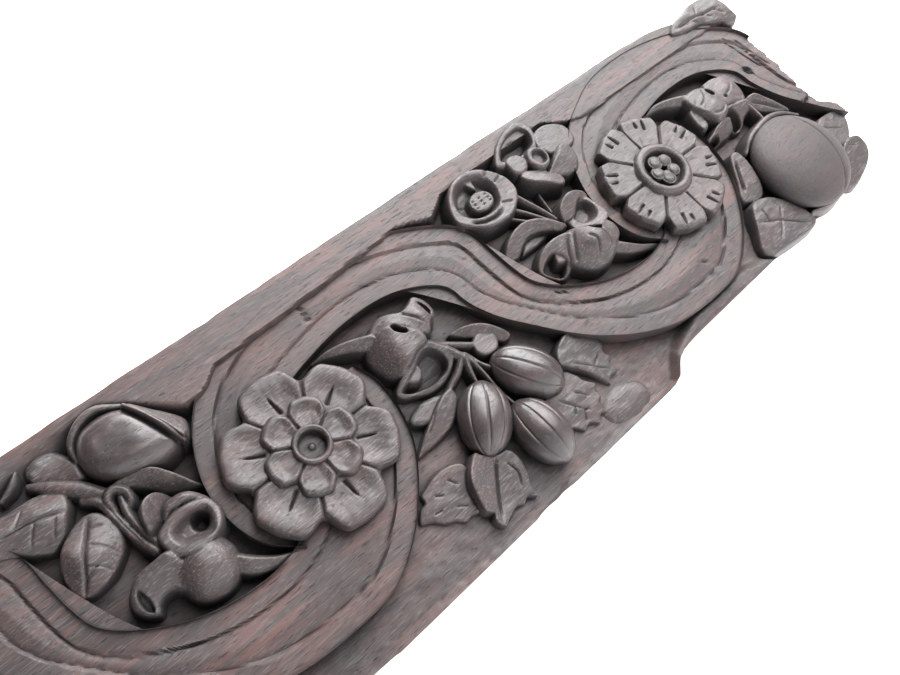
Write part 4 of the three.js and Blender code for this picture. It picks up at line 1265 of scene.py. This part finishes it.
def make_left_fruit():
    r = Relief((-92, 30, -36, 82))
    r.form([(-83, 63), (-83.5, 54), (-78, 45), (-68, 38.5), (-56, 36), (-46, 37.5), (-42.5, 44), (-46, 55),
            (-52, 66), (-60, 71.5), (-70, 72.5), (-78, 70)], [(-72, 64, 33.5), (-58, 66, 33.5), (-57, 51,
            34), (-68, 50, 33.5), (-48, 45, 31)], 9, 10, lumps=0.15)
    r.stroke([(-54.5, 68.5, 0.9, 33), (-50.5, 60, 1.2, 34.5), (-46.5, 50, 1.2, 34), (-43, 39, 0.9, 30)],
            0.9)
    r.score([[(-56, 67), (-52, 58), (-48.5, 49), (-45, 39)]], 2.0, 0.9)
    return r.solid("left_fruit")


# ---- operators
class FRIEZE_OT_stage(bpy.types.Operator):
    """Sets up the camera, the pale wall and floor and the soft studio lights."""

    bl_idname = "frieze.stage"
    bl_label = "Stage"

    def execute(self, context):
        make_stage(context.scene)
        return {"FINISHED"}


class FRIEZE_OT_plank(bpy.types.Operator):
    """Carves the plank: its ground, margins, worn edges and broken end."""

    bl_idname = "frieze.plank"
    bl_label = "Plank"

    def execute(self, context):
        finished(make_plank(context.scene.frieze_plank), oak("flat"))
        return {"FINISHED"}


class FRIEZE_OT_scroll(bpy.types.Operator):
    """Carves the running scroll."""

    bl_idname = "frieze.scroll"
    bl_label = "Running scroll"

    def execute(self, context):
        finished(make_scroll(context.scene.frieze_scroll), oak("flat"))
        return {"FINISHED"}


class FRIEZE_OT_rosettes(bpy.types.Operator):
    """Carves the two rosettes."""

    bl_idname = "frieze.rosettes"
    bl_label = "Rosettes"

    def execute(self, context):
        finished(make_rose(context.scene.frieze_flowers), oak("high"))
        finished(make_daisy(context.scene.frieze_flowers), oak("high"))
        return {"FINISHED"}


class FRIEZE_OT_sprays(bpy.types.Operator):
    """Carves the sprays of husks, stems, leaves and small flowers."""

    bl_idname = "frieze.sprays"
    bl_label = "Sprays"

    def execute(self, context):
        for make in (make_left_spray, make_plum_spray, make_flower_spray, make_peach_spray):
            finished(make(), oak("high"), SOFT)
        return {"FINISHED"}


class FRIEZE_OT_fruit(bpy.types.Operator):
    """Carves the plums, the left-hand fruit and the peach."""

    bl_idname = "frieze.fruit"
    bl_label = "Fruit"

    def execute(self, context):
        finished(make_plums(), oak("fruit"))
        finished(make_left_fruit(), oak("fruit"), SOFT)
        finished(make_peach(), oak("stone"), SOFT)
        return {"FINISHED"}


class FRIEZE_PT_panel(bpy.types.Panel):
    """Buttons and settings for the frieze panel."""

    bl_label = "Frieze panel"
    bl_idname = "FRIEZE_PT_panel"
    bl_space_type = "VIEW_3D"
    bl_region_type = "UI"
    bl_category = "Frieze"

    def draw(self, context):
        for operator in OPERATORS:
            self.layout.operator(operator.bl_idname)
        for group in GROUPS:
            settings = getattr(context.scene, group)
            for key in settings.bl_rna.properties.keys():
                if key not in ("rna_type", "name"):
                    self.layout.prop(settings, key)


# ---- the stage
CAMERA_PLACE = (-84.3, -81.8, 380.0 + FACE)  # on the bench
CAMERA_AXES = ((0.7171, -0.1866, -0.6717), (0.5625, -0.4143, 0.7157), (-0.4118, -0.8908, -0.1921))
LENS, SENSOR = 32.8, 36.0
WALL_GAP = 0.001  # metres from the panel's back to the wall
STAGE_REACH, FLOOR_LEVEL = 3.0, -1.2
FILL_LIGHT = 0.05
GLOW = 0.75  # the pale surfaces' own light
LIGHTS = (  # name, place, target, size, watts
    ("window", (0.75, -0.6, 1.2), (0, 0, 0), (1.2, 0.8), 36),
    ("softbox", (0.85, -1.2, 0.5), (0.05, 0, 0), (1.7, 1.1), 60),
)


def area_light(name, place, target, size, watts):
    data = bpy.data.lights.new(name, "AREA")
    data.shape = "RECTANGLE"
    data.size, data.size_y = size
    data.energy = watts
    light = linked(name, data)
    light.location = place
    light.rotation_euler = (Vector(target) - Vector(place)).to_track_quat("-Z", "Y").to_euler()


def pale_surface(name, one_sided):
    """A nearly white matt surface; one-sided, it doesn't show from behind."""
    material = bpy.data.materials.new(name)
    material.use_nodes = True
    tree = material.node_tree
    tree.nodes.clear()
    matt = add(tree, "ShaderNodeBsdfDiffuse", {"Color": (0.9, 0.9, 0.9, 1)}).outputs[0]
    glow = add(tree, "ShaderNodeEmission", {"Color": (1, 1, 1, 1), "Strength": GLOW}).outputs[0]
    surface = add(tree, "ShaderNodeAddShader", {0: matt, 1: glow}).outputs[0]
    if one_sided:
        back = add(tree, "ShaderNodeNewGeometry").outputs["Backfacing"]
        clear = add(tree, "ShaderNodeBsdfTransparent").outputs[0]
        surface = add(tree, "ShaderNodeMixShader", {0: back, 1: surface, 2: clear}).outputs[0]
    add(tree, "ShaderNodeOutputMaterial", {"Surface": surface})
    return material


def pale_sheet(name, corners, material):
    mesh = bpy.data.meshes.new(name)
    mesh.from_pydata(corners, [], [range(4)])
    mesh.materials.append(material)
    linked(name, mesh)


def make_stage(scene):
    camera = bpy.data.cameras.new("camera")
    camera.lens, camera.sensor_width = LENS, SENSOR
    camera.clip_start = 0.01
    viewer = linked("camera", camera)
    turn = Matrix(CAMERA_AXES).transposed().to_4x4()
    viewer.matrix_world = Matrix.Translation(Vector(on_wall(CAMERA_PLACE))) @ turn
    scene.camera = viewer
    far, low, back = STAGE_REACH, FLOOR_LEVEL, WALL_GAP
    pale_sheet("pale_wall", [(-far, back, low), (far, back, low), (far, back, far), (-far, back, far)],
            pale_surface("pale_wall", True))
    pale_sheet("pale_floor", [(-far, -far, low), (far, -far, low), (far, far, low), (-far, far, low)],
            pale_surface("pale_floor", False))
    world = bpy.data.worlds.new("studio")
    scene.world = world
    world.use_nodes = True
    background = world.node_tree.nodes["Background"].inputs
    background["Color"].default_value = (1, 1, 1, 1)
    background["Strength"].default_value = FILL_LIGHT
    for light in LIGHTS:
        area_light(*light)
    scene.view_settings.view_transform = "Standard"


# ---- making it all
GROUPS = {
    "frieze_plank": FriezePlank, "frieze_scroll": FriezeScroll, "frieze_flowers": FriezeFlowers,
    "frieze_finish": FriezeFinish,
}
OPERATORS = (FRIEZE_OT_stage, FRIEZE_OT_plank, FRIEZE_OT_scroll, FRIEZE_OT_rosettes, FRIEZE_OT_sprays,
        FRIEZE_OT_fruit)


def register():
    for cls in (*GROUPS.values(), *OPERATORS, FRIEZE_PT_panel):
        bpy.utils.register_class(cls)
    for name, cls in GROUPS.items():
        setattr(bpy.types.Scene, name, bpy.props.PointerProperty(type=cls))


def unregister():
    for name in GROUPS:
        delattr(bpy.types.Scene, name)
    for cls in reversed((*GROUPS.values(), *OPERATORS, FRIEZE_PT_panel)):
        bpy.utils.unregister_class(cls)


def main():
    register()
    for operator in OPERATORS:
        getattr(bpy.ops.frieze, operator.bl_idname.split(".")[1])()


if __name__ == "__main__":
    main()
